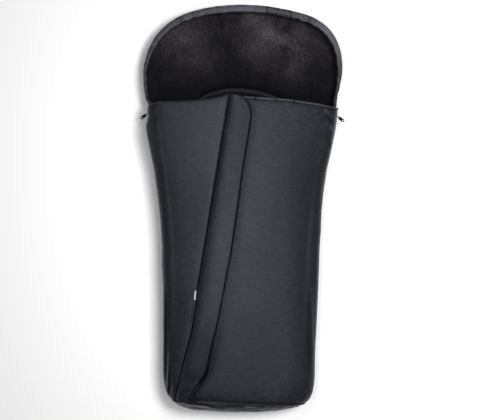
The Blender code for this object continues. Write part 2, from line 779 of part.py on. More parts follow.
def slider(name, frame, material):
    """Two plates joined by a neck, flanges that hold the tapes, and a bridge for the pull."""
    half = SLIDER_LENGTH / 2
    inner = CHAIN_THICKNESS / 2 + SEAT
    outer = inner + SLIDER_PLATE
    top, foot, cut = SLIDER_TOP_HALF_WIDTH, SLIDER_FOOT_HALF_WIDTH, SLIDER_CHAMFER
    right_edge = [(-half, foot), (half - 2 * cut, top), (half, top - cut)]
    outline = right_edge + [(x, -y) for x, y in reversed(right_edge)]
    levels = ((inner, outer), (-outer, -inner))
    plates = [prism("plate", outline, low, high, material, frame) for low, high in levels]
    neck_top = half - NECK_TOP_SETBACK
    neck_foot = neck_top - NECK_LENGTH
    middle = (neck_top + neck_foot) / 2
    wedge = [
        (neck_foot, 0),
        (middle, -NECK_HALF_WIDTH),
        (neck_top, -NECK_HALF_WIDTH),
        (neck_top, NECK_HALF_WIDTH),
        (middle, NECK_HALF_WIDTH),
    ]
    others = [plates[1], prism("neck", wedge, -inner - FUSE, inner + FUSE, material, frame)]
    lip = TAPE / 2 + SEAT
    for side in (1, -1):
        across = sorted((side * (foot - FUSE), side * (foot - SLIDER_FLANGE + FUSE)))
        for low, high in ((lip, inner + FUSE), (-inner - FUSE, -lip)):
            corner = (-half + FUSE, across[0], low)
            others.append(box("lip", corner, (neck_foot, across[1], high), material, frame))
    gap_top = outer + BRIDGE_GAP
    bridge_top = gap_top + BRIDGE_THICKNESS
    reach, leg = BRIDGE_HALF_LENGTH, BRIDGE_HALF_LENGTH - BRIDGE_LEG
    base = outer - FUSE
    arch = [
        (-reach, base),
        (-leg, base),
        (-leg, gap_top),
        (leg, gap_top),
        (leg, base),
        (reach, base),
        (reach, gap_top),
        (leg, bridge_top),
        (-leg, bridge_top),
        (-reach, gap_top),
    ]
    loops = [[frame @ Vector((x, y, z)) for x, z in arch] for y in (-BRIDGE_HALF_WIDTH, BRIDGE_HALF_WIDTH)]
    others.append(loops_solid("bridge", loops, material))
    plates[0].name = name
    return fused(plates[0], others)


PULL_PIVOT = CHAIN_THICKNESS / 2 + SEAT + SLIDER_PLATE + SEAT + WIRE / 2


def side_frame(side):
    """A frame on a side slider: X up the zip, Y across it, Z out of the bag."""
    y = SIDE_SLIDER_Y
    x = side_half_width(y) - TAPE_MIDDLE
    along = Vector((side * SIDE_TAPER, 1, 0))
    normal = Vector((side, -SIDE_TAPER, 0))
    return frame_of((side * x, y, SIDE_CHAIN_Z), along, normal)


def pull_frame(side):
    """A frame on a side pull's pivot: X along the pull, Y along its crossbar."""
    frame = side_frame(side)
    origin = frame @ Vector((0, 0, PULL_PIVOT))
    axes = frame.to_3x3()
    out, up_zip = axes.col[2], axes.col[0]
    along = out * math.cos(SIDE_PULL_ANGLE) - up_zip * math.sin(SIDE_PULL_ANGLE)
    normal = Vector((0, 0, 1)).cross(along)
    return frame_of(origin, along, normal)


def wire_loop(name, frame, material):
    """A closed loop of wire: its crossbar lies under the bridge, its narrow end holds the tab."""
    corners = (
        (0, -LOOP_HALF_WIDTH),
        (0, LOOP_HALF_WIDTH),
        (LOOP_LENGTH, LOOP_TIP_HALF_WIDTH),
        (LOOP_LENGTH, -LOOP_TIP_HALF_WIDTH),
    )
    points = []
    for i, corner in enumerate(corners):
        before, after = Vector(corners[i - 1]), Vector(corners[(i + 1) % len(corners)])
        here = Vector(corner)
        first = here + (before - here).normalized() * WIRE / 2
        second = here + (after - here).normalized() * WIRE / 2
        for t in (0, 0.5, 1):
            points.append(first.lerp(here, t).lerp(here.lerp(second, t), t))
    curve = bpy.data.curves.new(name, "CURVE")
    curve.dimensions = "3D"
    curve.bevel_depth = WIRE / 2
    curve.bevel_resolution = 1
    spline = curve.splines.new("POLY")
    spline.points.add(len(points) - 1)
    spline.use_cyclic_u = True
    spline.use_smooth = True
    for slot, (x, y) in zip(spline.points, points):
        slot.co = (*(frame @ Vector((x, y, 0))), 1)
    curve.materials.append(material)
    obj = bpy.data.objects.new(name, curve)
    bpy.context.scene.collection.objects.link(obj)
    return obj


def pull_tab(name, side, material):
    """A flat tab with round ends, an eye for the loop and a hole at the tip. It lies level."""
    frame = pull_frame(side)
    along = frame.to_3x3().col[0]
    level = frame_of(frame @ Vector((LOOP_LENGTH - TAB_EYE_SETBACK, 0, 0)), along, (0, 0, 1))
    radius = TAB_HALF_WIDTH
    outline = []
    for centre, start in ((TAB_LENGTH - radius, -QUARTER), (radius, QUARTER)):
        for i in range(HEAD_STEPS + 1):
            angle = start + math.pi * i / HEAD_STEPS
            outline.append((centre + radius * math.cos(angle), radius * math.sin(angle)))
    half = TAB_THICKNESS / 2
    tab = prism(name, outline, -half, half, material, level)
    holes = ((TAB_EYE_SETBACK, TAB_EYE_RADIUS), (TAB_LENGTH - TAB_HOLE_SETBACK, TAB_HOLE_RADIUS))
    for place, hole in holes:
        ring = [
            (place + hole * math.cos(a), hole * math.sin(a))
            for a in [2 * math.pi * (i + 0.5) / HEAD_STEPS for i in range(HEAD_STEPS)]
        ]
        cutter = helper(prism(f"{name}_hole", ring, -TAB_THICKNESS, TAB_THICKNESS, None, level))
        boolean(tab, cutter, "DIFFERENCE")
    return shade_round(tab)


def centre_pull(frame, material):
    """A flat pull with a window for the bridge, lying towards the foot under the flap."""
    half = WIRE / 2
    width, leg = CENTRE_PULL_HALF_WIDTH, CENTRE_PULL_LEG
    low, high = PULL_PIVOT - half, PULL_PIVOT + half
    start = half
    end = half - CENTRE_PULL_LENGTH
    corner = width / 2
    outline = [
        (start, -width),
        (start, width),
        (end + corner, width),
        (end, width - corner),
        (end, corner - width),
        (end + corner, -width),
    ]
    pull = prism("centre_pull", outline, low, high, material, frame)
    reach = width - leg
    window = box(
        "centre_pull_window",
        (-half - CENTRE_PULL_WINDOW, -reach, low - WIRE),
        (-half, reach, high + WIRE),
        None,
        frame,
    )
    return boolean(pull, helper(window), "DIFFERENCE")


def flap_width(down):
    """The flap's width at a distance down its seam."""
    share = (down - FLAP_START) / (FLAP_END - FLAP_START)
    for i in range(len(FLAP_STATION_SHARES) - 1):
        low, high = FLAP_STATION_SHARES[i : i + 2]
        if share <= high or i == len(FLAP_STATION_SHARES) - 2:
            t = (share - low) / (high - low)
            first, second = FLAP_WIDTH_SHARES[i : i + 2]
            return FLAP_WIDTH * (first + (second - first) * t)


def flap_loop(down, height_under, crown):
    """One cross-section of the flap: under side then upper side."""
    width = flap_width(down)
    under, upper = [], []
    for i in range(FLAP_STEPS + 1):
        across = width * i / FLAP_STEPS
        lift = crown * max(math.sin(math.pi * i / FLAP_STEPS), 0) ** FLAP_CROWN_EXPONENT
        point = placket_point(down, across)
        z = height_under(point.x, point.y) + lift
        under.append((point.x, point.y, z))
        upper.append((point.x, point.y, z + FLAP_THICKNESS))
    return under + upper[::-1]


def make_flap(material):
    """The part of the flap that lifts, over the flat of the cover."""
    span = FLAP_END - FLAP_START
    places = [FLAP_START + span * share for share in FLAP_STATION_SHARES]
    places = [p for p in places if p < FLAP_SPLIT] + [FLAP_SPLIT]
    loops = [flap_loop(p, lambda x, y: COVER_TOP + SEAT, FLAP_CROWN) for p in places]
    return shade_round(loops_solid("placket_flap", loops, material))


def make_flap_end(material):
    """The tacked lower end of the flap, which follows the cover's round foot."""
    places = [FLAP_SPLIT + SEAT] + steps(FLAP_SPLIT, FLAP_END, FLAP_END_STEPS)
    crowns = [FLAP_CROWN] + steps(FLAP_CROWN, FLAP_END_CROWN, FLAP_END_STEPS)
    loops = [
        flap_loop(p, lambda x, y: cover_height(x, y) + SEAT, crown)
        for p, crown in zip(places, crowns)
    ]
    return shade_round(loops_solid("placket_flap_end", loops, material))


def make_tag(material):
    """The woven tag, caught at the flap's seam and lying on the left panel."""
    low = COVER_TOP + SEAT
    corners = (
        placket_point(TAG_FROM_TOP, -SEAT),
        placket_point(TAG_FROM_TOP, -TAG_WIDTH),
        placket_point(TAG_FROM_TOP + TAG_LENGTH, -TAG_WIDTH),
        placket_point(TAG_FROM_TOP + TAG_LENGTH, -SEAT),
    )
    return prism("woven_tag", [c.xy for c in corners], low, low + TAG_THICKNESS, material)


def pivot(name, place):
    """An empty on a joint's axis."""
    empty = bpy.data.objects.new(name, None)
    empty.location = place
    bpy.context.scene.collection.objects.link(empty)
    return empty


def carry(empty, pieces):
    """Parents pieces to a pivot and leaves them where they are."""
    for piece in pieces:
        piece.parent = empty
        piece.matrix_parent_inverse = Matrix.Translation(-empty.location)


def main():
    clear_scene()
    materials = {
        "shell": make_material("shell_fabric", (0.040, 0.041, 0.052), 0.62),
        "plush": make_material("plush", (0.018, 0.017, 0.020), 0.95),
        "wadding": make_material("wadding", (0.75, 0.75, 0.73), 0.95),
        "binding": make_material("binding", (0.012, 0.012, 0.013), 0.8),
        "tape": make_material("zip_tape", (0.012, 0.012, 0.014), 0.85),
        "zip": make_material("zip_plastic", (0.010, 0.010, 0.011), 0.4),
        "slider": make_material("slider_metal", (0.012, 0.012, 0.013), 0.35, 0.6),
        "tab": make_material("pull_tab", (0.008, 0.008, 0.009), 0.45),
        "tag": make_material("woven_tag", (0.006, 0.006, 0.007), 0.8),
    }
    make_back(materials)
    make_head_rim(materials["shell"])
    front = make_front(materials)
    centre = make_centre_zip(materials)
    flap = make_flap(materials["shell"])
    flap_end = make_flap_end(materials["shell"])
    tag = make_tag(materials["tag"])
    on_cover = [piece for name, piece in front.items() if name.startswith("front")]
    on_cover += list(centre.values()) + [flap_end, tag]

    for side, side_name in ((-1, "left"), (1, "right")):
        made = make_side_zip(side, side_name, materials)
        on_cover += [piece for name, piece in made.items() if "_front_" in name]
        frame = side_frame(side)
        runner = slider(f"{side_name}_slider", frame, materials["slider"])
        carry(pivot(f"{side_name}_slide", frame.translation), [runner])
        at_bridge = pull_frame(side)
        loop = wire_loop(f"{side_name}_pull_loop", at_bridge, materials["slider"])
        tab = pull_tab(f"{side_name}_pull_tab", side, materials["tab"])
        carry(pivot(f"{side_name}_pull_pivot", at_bridge.translation), [loop])
        carry(pivot(f"{side_name}_tab_pivot", at_bridge @ Vector((LOOP_LENGTH, 0, 0))), [tab])

    frame = centre_frame(CENTRE_SLIDER_DOWN)
    runner = slider("centre_slider", frame, materials["slider"])
    pull = centre_pull(frame, materials["slider"])
    carry(pivot("centre_slide", frame.translation), [runner, pull])
    flap_axis = placket_point(0, 0, COVER_TOP + SEAT + FLAP_THICKNESS)
    carry(pivot("flap_hinge", flap_axis), [flap])
    seam_z = cover_height(0, FOOT_SEAM_Y) + SEAT
    carry(pivot("foot_seam_hinge", Vector((0, FOOT_SEAM_Y, seam_z))), on_cover)


main()
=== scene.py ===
"""Looks of the stroller footmuff: padded shell panels, deep plush, zips and soft studio light.

The soft pieces are sheets of points over the bag's outline. Each one is shaped by its seams, puckers
and creases, and then closed to its thickness with soft edges.
"""
import math

import bpy
import numpy as np
from mathutils import Matrix, Vector, noise


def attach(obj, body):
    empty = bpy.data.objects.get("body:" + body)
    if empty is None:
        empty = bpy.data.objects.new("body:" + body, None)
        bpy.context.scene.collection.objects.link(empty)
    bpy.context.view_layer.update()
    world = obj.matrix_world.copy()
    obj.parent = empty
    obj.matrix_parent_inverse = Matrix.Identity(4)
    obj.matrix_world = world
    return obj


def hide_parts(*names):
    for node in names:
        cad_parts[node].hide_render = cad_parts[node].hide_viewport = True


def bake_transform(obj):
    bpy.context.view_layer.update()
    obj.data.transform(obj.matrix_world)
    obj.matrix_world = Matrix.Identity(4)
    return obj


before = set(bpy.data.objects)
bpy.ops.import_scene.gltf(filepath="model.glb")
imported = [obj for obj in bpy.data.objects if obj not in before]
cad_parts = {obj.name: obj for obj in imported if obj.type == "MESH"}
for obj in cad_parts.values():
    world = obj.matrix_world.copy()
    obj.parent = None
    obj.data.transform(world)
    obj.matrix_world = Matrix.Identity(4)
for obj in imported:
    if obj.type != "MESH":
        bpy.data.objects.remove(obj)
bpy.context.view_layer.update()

# Sizes of the part, in metres
HEAD_HALF_WIDTH, HEAD_ROUND, HEAD_EXPONENT = 0.2325, 0.160, 2.4
FOOT_HALF_WIDTH, FOOT_ROUND, FOOT_EXPONENT = 0.180, 0.120, 3.6
KNEE_HALF_WIDTH = 0.1964
WIDEST_Y, PLACKET_Y, MOUTH_SIDE_Y, KNEE_Y = 0.3205, 0.262, 0.238, 0.050
FOOT_Y, FOOT_SEAM_Y, SIDE_TAPER = -0.3605, -0.453, 0.13346
WALL_TOP, COVER_EDGE, COVER_TOP = 0.036, 0.048, 0.096
BACK_STRAIGHT, BACK_ROUND, COVER_STRAIGHT, COVER_ROUND = 0.030, 0.036, 0.054, 0.060
SECTION_EXPONENT, MOUTH_PUFF = 2.2, 0.006
SHELL, WADDING, PLUSH, SEAT = 0.0016, 0.012, 0.005, 0.0003
LINING_FLOOR = 0.0192
HARNESS_HALF_WIDTH, HARNESS_EDGE, HARNESS_FOOT_Y, ARCH_SETBACK = 0.106, 0.1055, -0.090, 0.002
PLACKET_LEFT, PLACKET_ANGLE, ZIP_FROM_SEAM = 0.0307, math.radians(8.5308), 0.024
CHANNEL_HALF_WIDTH, ZIP_END = 0.0064, 0.633
# Heights at which the zip tapes end, on the back and on the cover, and how far in the plush lies there
BACK_TAPE_Z, COVER_TAPE_Z, TAPE_NEAR, TAPE_FAR = 0.0304, 0.0536, 0.0034, 0.0056
# The harness slots: x, y and half sizes. SLOT_IN and SLOT_OUT are the sides of the shoulder slots
SLOT_HALF, SLOT_IN, SLOT_OUT = 0.0065, 0.0535, 0.0665
SLOTS = (
    (-0.060, 0.160, SLOT_HALF, 0.0715),
    (0.060, 0.160, SLOT_HALF, 0.0715),
    (0.0, -0.025, SLOT_HALF, 0.0365),
)
SLOT_ROWS = [y + side * half for _, y, _, half in SLOTS[1:] for side in (-1, 1)]
# The round ends: half width, length, y where it begins, exponent and direction
HEAD = (HEAD_HALF_WIDTH, HEAD_ROUND, WIDEST_Y, HEAD_EXPONENT, 1)
FOOT = (FOOT_HALF_WIDTH, FOOT_ROUND, FOOT_Y, FOOT_EXPONENT, -1)
DOWN = np.array((-math.sin(PLACKET_ANGLE), -math.cos(PLACKET_ANGLE)))
ACROSS = np.array((math.cos(PLACKET_ANGLE), -math.sin(PLACKET_ANGLE)))
QUARTER = math.pi / 2

# Shares of the wadding and the plush that each ring of the side section has
WADDING_SHARES = (0.25, 0.5, 0.75, 0.92, 1.0)
PLUSH_SHARES = (0.5, 0.8, 1.0, 1.0, 1.0)

# Spacing of the sheets' points, and the length that a radian of a section counts for in it
CLOTH_STEP, TURN_LENGTH = 0.0028, 0.02


def smooth(t):
    t = np.clip(t, 0, 1)
    return t * t * (3 - 2 * t)


# ---- the outline ----


def side_half_width(y):
    """Half the width between the round ends, as in the part."""
    y = np.asarray(y, float)
    span = KNEE_Y - FOOT_Y
    t = np.clip((y - FOOT_Y) / span, 0, 1)
    widening = (KNEE_HALF_WIDTH - FOOT_HALF_WIDTH) * (3 * t**2 - 2 * t**3)
    below = FOOT_HALF_WIDTH + widening + (t**3 - t**2) * SIDE_TAPER * span
    return np.where(y >= KNEE_Y, KNEE_HALF_WIDTH + SIDE_TAPER * (y - KNEE_Y), below)


def half_width(y):
    """Half the outline's width at y."""
    y = np.asarray(y, float)
    width = side_half_width(np.clip(y, FOOT_Y, WIDEST_Y))
    for end_width, length, centre, exponent, direction in (HEAD, FOOT):
        along = np.clip(direction * (y - centre) / length, 0, 1)
        rounded = end_width * (1 - along**exponent) ** (1 / exponent)
        width = np.where(direction * (y - centre) > 0, rounded, width)
    return width


def depth_at(x, y, most):
    """How far a plan point lies inside the outline, by halving the range from 0 to most."""
    low = np.zeros(np.broadcast(x, y).shape)
    high = np.full(low.shape, most)
    for _ in range(26):
        middle = (low + high) / 2
        inside = np.abs(x) <= side_half_width(np.clip(y, FOOT_Y, WIDEST_Y)) - middle
        for end_width, length, centre, exponent, direction in (HEAD, FOOT):
            along = np.clip(direction * (y - centre), 0, None) / (length - middle)
            within = (np.abs(x) / (end_width - middle)) ** exponent + along**exponent <= 1
            inside = np.where(direction * (y - centre) > 0, within, inside)
        low = np.where(inside, middle, low)
        high = np.where(inside, high, middle)
    return low


def section_angle(depth, rounding):
    """The angle in the side's section, 0 at the wall and a quarter turn where it is flat."""
    share = np.clip(1 - depth / rounding, 0, 1)
    return np.arccos(share ** (SECTION_EXPONENT / 2))


def cover_height(angle):
    return COVER_STRAIGHT + (COVER_TOP - COVER_STRAIGHT) * np.sin(angle) ** (2 / SECTION_EXPONENT)


# how far the stuffed cover swells over its side zips, by y: left and right
SWELL_Y = (-0.450, -0.425, -0.368, -0.320, -0.277, -0.230, -0.186, -0.140, -0.095)
SWELL_LEFT = (0, 0, 0, 0.0015, 0.0072, 0.0062, 0.0056, 0.0067, 0.0028)
SWELL_RIGHT = (0, 0.0040, 0.0024, 0.0051, 0.0075, 0.0092, 0.0112, 0.0105, 0.0080)
SWELL_Y += (-0.050, -0.005, 0.041, 0.086, 0.132, 0.175, 0.190, 0.212, 0.240)
SWELL_LEFT += (0.0045, 0.0053, 0.0059, 0.0058, 0.0115, 0.0155, 0.0145, 0.0045, 0.0022)
SWELL_RIGHT += (0.0080, 0.0029, -0.0007, -0.0020, 0.0034, 0.0042, 0.0044, 0.0026, 0.0022)


def side_puff(y, side):
    """How far the cover's side swells past the zip."""
    t = np.clip((y - FOOT_Y) / (MOUTH_SIDE_Y - FOOT_Y), 0, 1)
    return MOUTH_PUFF * t**2 + float(np.interp(y, SWELL_Y, SWELL_RIGHT if side > 0 else SWELL_LEFT))


def ring_share(angle, shares):
    return np.interp(angle, np.linspace(0, QUARTER, len(shares)), shares)


def pad_thickness(angle, from_tape):
    """Shell and wadding together: thin where the zip tape is sewn on, full in the middle."""
    full = SHELL + SEAT + WADDING * ring_share(angle, WADDING_SHARES)
    return SHELL - 0.0001 + (full - SHELL) * smooth(from_tape / 0.003)


# ---- sheets of points ----


def stacked(x, y, z):
    """Points in rows, from grids of their coordinates."""
    return np.stack(np.broadcast_arrays(x, y, z), axis=-1).reshape(-1, 3)


def grid_faces(rows, columns):
    index = np.arange(rows * columns).reshape(rows, columns)
    corners = (index[:-1, :-1], index[:-1, 1:], index[1:, 1:], index[1:, :-1])
    return np.stack([c.ravel() for c in corners], axis=1)


def normals_of(points, faces):
    """Normals at the points, each the mean of its faces."""
    total = np.zeros_like(points)
    a, b, c, d = (points[faces[:, i]] for i in range(4))
    flat = np.cross(c - a, d - b)
    for i in range(4):
        np.add.at(total, faces[:, i], flat)
    length = np.linalg.norm(total, axis=1, keepdims=True)
    return total / np.maximum(length, 1e-12)


def turned(points, faces, middle, axis=2, sign=1):
    """The faces and their points' normals, turned so that those at middle look along the axis."""
    normals = normals_of(points, faces)
    if sign * normals[middle, axis].mean() < 0:
        return faces[:, ::-1], -normals
    return faces, normals


def without_slots(points, faces):
    """The faces that lie outside the harness slots."""
    centre = points[faces].mean(axis=1)
    hole = np.zeros(len(faces), bool)
    for x, y, half_x, half_y in SLOTS:
        hole |= (np.abs(centre[:, 0] - x) < half_x) & (np.abs(centre[:, 1] - y) < half_y)
    return faces[~hole]


def merged(points, faces, values):
    """The same sheet with equal points made one, and the values thinned to match."""
    _, first, index = np.unique(np.round(points, 6), axis=0, return_index=True, return_inverse=True)
    faces = index.ravel()[faces]
    keep = [row for row, face in enumerate(faces) if len(set(face)) > 2]
    return points[first], faces[keep], values[first]


def lengths_along(line):
    return np.concatenate(([0], np.cumsum(np.linalg.norm(np.diff(line, axis=0), axis=1))))


def resampled(line, count):
    """The same polyline with count points evenly along it, and each one's distance along."""
    along = lengths_along(line)
    places = np.linspace(0, along[-1], count)
    return np.stack([np.interp(places, along, line[:, k]) for k in range(line.shape[1])], axis=1), places


def even_section(parts, count):
    """count points evenly along a section, whose parts are places, heights and angles. It also gives
    each one's distance along."""
    line = np.concatenate([stacked(*part) for part in parts]) * (1, 1, TURN_LENGTH)
    even, along = resampled(line, count)
    return (*(even / (1, 1, TURN_LENGTH)).T, along)


def gathered(lines):
    """Grids of points, section angles and distances, from lines of x, y, z, angle and distance."""
    grid = np.moveaxis(np.array([np.broadcast_arrays(*line) for line in lines]), 1, -1)
    return grid[..., :3], grid[..., 3], grid[..., 4]


def stops(*stretches):
    """Values that run on through the stretches, each a start, an end and a number of values."""
    parts = [np.linspace(*stretch) for stretch in stretches]
    return np.concatenate(parts[:1] + [part[1:] for part in parts[1:]])


def noise_at(points, size, seed):
    """Smooth noise of about -1 to 1 with features of this size, for rows or a grid of points."""
    places = np.reshape(points, (-1, 3))
    values = [noise.noise(Vector((x / size + seed, y / size, z / size))) for x, y, z in places]
    return np.reshape(values, np.shape(points)[:-1])


def bell(distance, width):
    return np.exp(-((distance / width) ** 2))


def crease(x, y, start, end, width):
    """1 on the line from start to end, fading to 0 at this width and towards its ends."""
    (sx, sy), (ex, ey) = start, end
    length = math.hypot(ex - sx, ey - sy)
    ux, uy = (ex - sx) / length, (ey - sy) / length
    along = ((x - sx) * ux + (y - sy) * uy) / length
    off = (x - sx) * -uy + (y - sy) * ux
    return bell(off, width) * smooth(along / 0.25) * smooth((1 - along) / 0.25)


def creases(table, x, y, narrow=1.0, weight=lambda end, height: 1):
    """The sum of a table's creases, each a start, an end, a width and a height. narrow scales the
    widths, and weight gives what each height is multiplied by."""
    return sum(
        weight(end, height) * height * crease(x, y, start, end, width * narrow)
        for start, end, width, height in table
    )


def mesh_object(name, points, faces, cloth=None, material=None):
    """A smooth mesh of faces with 3 or 4 corners. cloth holds each point's place on its flat cut."""
    clean = [list(dict.fromkeys(face)) for face in np.asarray(faces).tolist()]
    mesh = bpy.data.meshes.new(name)
    mesh.from_pydata([tuple(p) for p in points], [], [f for f in clean if len(f) > 2])
    mesh.shade_smooth()
    if cloth is not None:
        attribute = mesh.attributes.new("cloth", "FLOAT_VECTOR", "POINT")
        attribute.data.foreach_set("vector", np.asarray(cloth, np.float32).ravel())
    if material is not None:
        mesh.materials.append(material)
    obj = bpy.data.objects.new(name, mesh)
    bpy.context.scene.collection.objects.link(obj)
    return obj


def paint_shade_and_print(obj, values, edge=0.0):
    """Stores on each outer point the value that the materials paint from: up to 1 paints shade in a
    fold, seam or crevice, down to -1 paints a highlight on a ridge, and on the label it marks the
    printed bar.
    """
    every = np.full(len(obj.data.vertices), edge, np.float32)
    every[: np.size(values)] = np.clip(np.ravel(values), -1, 1)
    obj.data.attributes.new("fold", "FLOAT", "POINT").data.foreach_set("value", every)


def closed(name, outer, inner, faces, cloth, bulge, material, slot, edge_rows=5):
    """A pad between two sheets of the same faces. Its borders are rounded and stand out by bulge."""
    count = len(outer)
    bulge = np.broadcast_to(np.ravel(bulge), (count,))
    normals = normals_of(outer, faces)
    edges = {}
    for face in faces.tolist():
        corners = list(dict.fromkeys(face))
        edges.update(dict.fromkeys(zip(corners, corners[1:] + corners[:1])))
    border = [(a, b) for a, b in edges if (b, a) not in edges]
    out = np.zeros((count, 3))
    for a, b in border:
        away = np.cross(outer[b] - outer[a], normals[a] + normals[b])
        out[a] += away
        out[b] += away
    picked = np.array(sorted({a for a, _ in border}))
    away = out[picked] / np.maximum(np.linalg.norm(out[picked], axis=1, keepdims=True), 1e-12)
    points, cloths = [outer, inner], [cloth, cloth]
    levels = np.tile(np.arange(count), (edge_rows + 1, 1))
    levels[-1] += count
    for i in range(1, edge_rows):
        share = i / edge_rows
        w = (1 - math.cos(math.pi * share)) / 2
        row = outer[picked] * (1 - w) + inner[picked] * w
        points.append(row + away * (bulge[picked] * math.sin(math.pi * share))[:, None])
        cloths.append(cloth[picked] + np.array((0, share * 0.01, share * 0.01)))
        levels[i, picked] = 2 * count + (i - 1) * len(picked) + np.arange(len(picked))
    a, b = np.array(border).T
    walls = np.stack([levels[:-1, b], levels[:-1, a], levels[1:, a], levels[1:, b]], axis=-1)
    every = np.concatenate((faces, faces[:, ::-1] + count, walls.swapaxes(0, 1).reshape(-1, 4)))
    return mesh_object(name, np.concatenate(points), every, np.concatenate(cloths), material)


def plush_lining(name, points, normals, angles, faces, cloth, nap, tape, moved, bulge):
    """The plush of a padded piece, from its backing to the pile's tips; thin along the zip tape."""
    near = SHELL + 2 * SEAT + WADDING * ring_share(angles, WADDING_SHARES)
    far = near + PLUSH * ring_share(angles, PLUSH_SHARES)
    near, far = np.where(tape, TAPE_NEAR, near), np.where(tape, TAPE_FAR, far)
    tips = points - normals * (far + np.where(tape, 0, nap))[:, None]
    backing = points - normals * near[:, None]
    return closed(name, moved(tips), moved(backing), faces[:, ::-1], cloth, bulge, PILE, "plush", 3)


# ---- materials ----


class Nodes:
    """A node tree, with its nodes added one after another."""

    def __init__(self, tree):
        self.tree = tree

    def node(self, kind, inputs=None, **settings):
        made = self.tree.nodes.new(kind)
        for key, value in settings.items():
            setattr(made, key, value)
        for key, value in (inputs or {}).items():
            if isinstance(value, bpy.types.NodeSocket):
                self.tree.links.new(value, made.inputs[key])
            else:
                made.inputs[key].default_value = value
        return made

    def math(self, operation, *values):
        return self.node("ShaderNodeMath", dict(enumerate(values)), operation=operation).outputs[0]

    def seen_by(self, *rays):
        """1 for these kinds of ray and 0 for the others."""
        path = self.node("ShaderNodeLightPath")
        seen = 0.0
        for ray in rays:
            seen = self.math("MAXIMUM", seen, path.outputs[ray])
        return seen


class Shader(Nodes):
    """A material on the Principled shader. settings are values of the shader's own sockets."""

    def __init__(self, name, **settings):
        self.material = bpy.data.materials.new(name)
        self.material.use_nodes = True
        super().__init__(self.material.node_tree)
        self.surface = self.tree.nodes["Principled BSDF"]
        self.place = self.node("ShaderNodeTexCoord").outputs["Object"]
        for key, value in settings.items():
            socket = key.replace("_", " ").title().replace("Ior", "IOR")
            self.surface.inputs[socket].default_value = value

    def attribute(self, name, output="Fac"):
        return self.node("ShaderNodeAttribute", attribute_name=name).outputs[output]

    def split(self, vector):
        return self.node("ShaderNodeSeparateXYZ", {"Vector": vector}).outputs

    def scaled(self, vector, scale):
        return self.node("ShaderNodeMapping", {"Vector": vector, "Scale": scale}).outputs["Vector"]

    def waves(self, value, pitch):
        return self.math("SINE", self.math("MULTIPLY", value, 2 * math.pi / pitch))

    def noise(self, vector, scale, detail=2.0, roughness=0.5, distortion=0.0):
        inputs = {"Vector": vector, "Scale": scale, "Detail": detail}
        inputs.update({"Roughness": roughness, "Distortion": distortion})
        return self.node("ShaderNodeTexNoise", inputs).outputs["Fac"]

    def ranged(self, value, low, high, to_low, to_high):
        inputs = {"Value": value, "From Min": low, "From Max": high, "To Min": to_low, "To Max": to_high}
        return self.node("ShaderNodeMapRange", inputs).outputs["Result"]

    def mixed(self, factor, first, second):
        first, second = ((*c, 1.0) if isinstance(c, tuple) else c for c in (first, second))
        return self.node("ShaderNodeMix", {0: factor, 6: first, 7: second}, data_type="RGBA").outputs[2]

    def tinted(self, tone, value, spread, colour):
        """tone mixed towards colour. spread is two places of value, and the colour's share at each."""
        return self.mixed(self.ranged(value, *spread), tone, colour)

    def link(self, socket, name):
        self.tree.links.new(socket, self.surface.inputs[name])

    def bump(self, height, distance, strength=1.0, under=None):
        inputs = {"Height": height, "Distance": distance, "Strength": strength}
        if under is not None:
            inputs["Normal"] = under
        return self.node("ShaderNodeBump", inputs).outputs["Normal"]

    def finish(self, tone, normal):
        self.link(tone, "Base Color")
        self.link(normal, "Normal")
        return self.material


def woven(shader, vector, pitch):
    """Height of a plain weave: warp and weft threads cross over and under each other."""
    parts = shader.split(vector)
    across, along = (shader.waves(parts[axis], pitch) for axis in "XY")
    over = shader.math("MULTIPLY", across, along)
    ribs = shader.math("ADD", shader.math("ABSOLUTE", across), shader.math("ABSOLUTE", along))
    return shader.math("ADD", shader.math("MULTIPLY", over, 0.5), ribs)


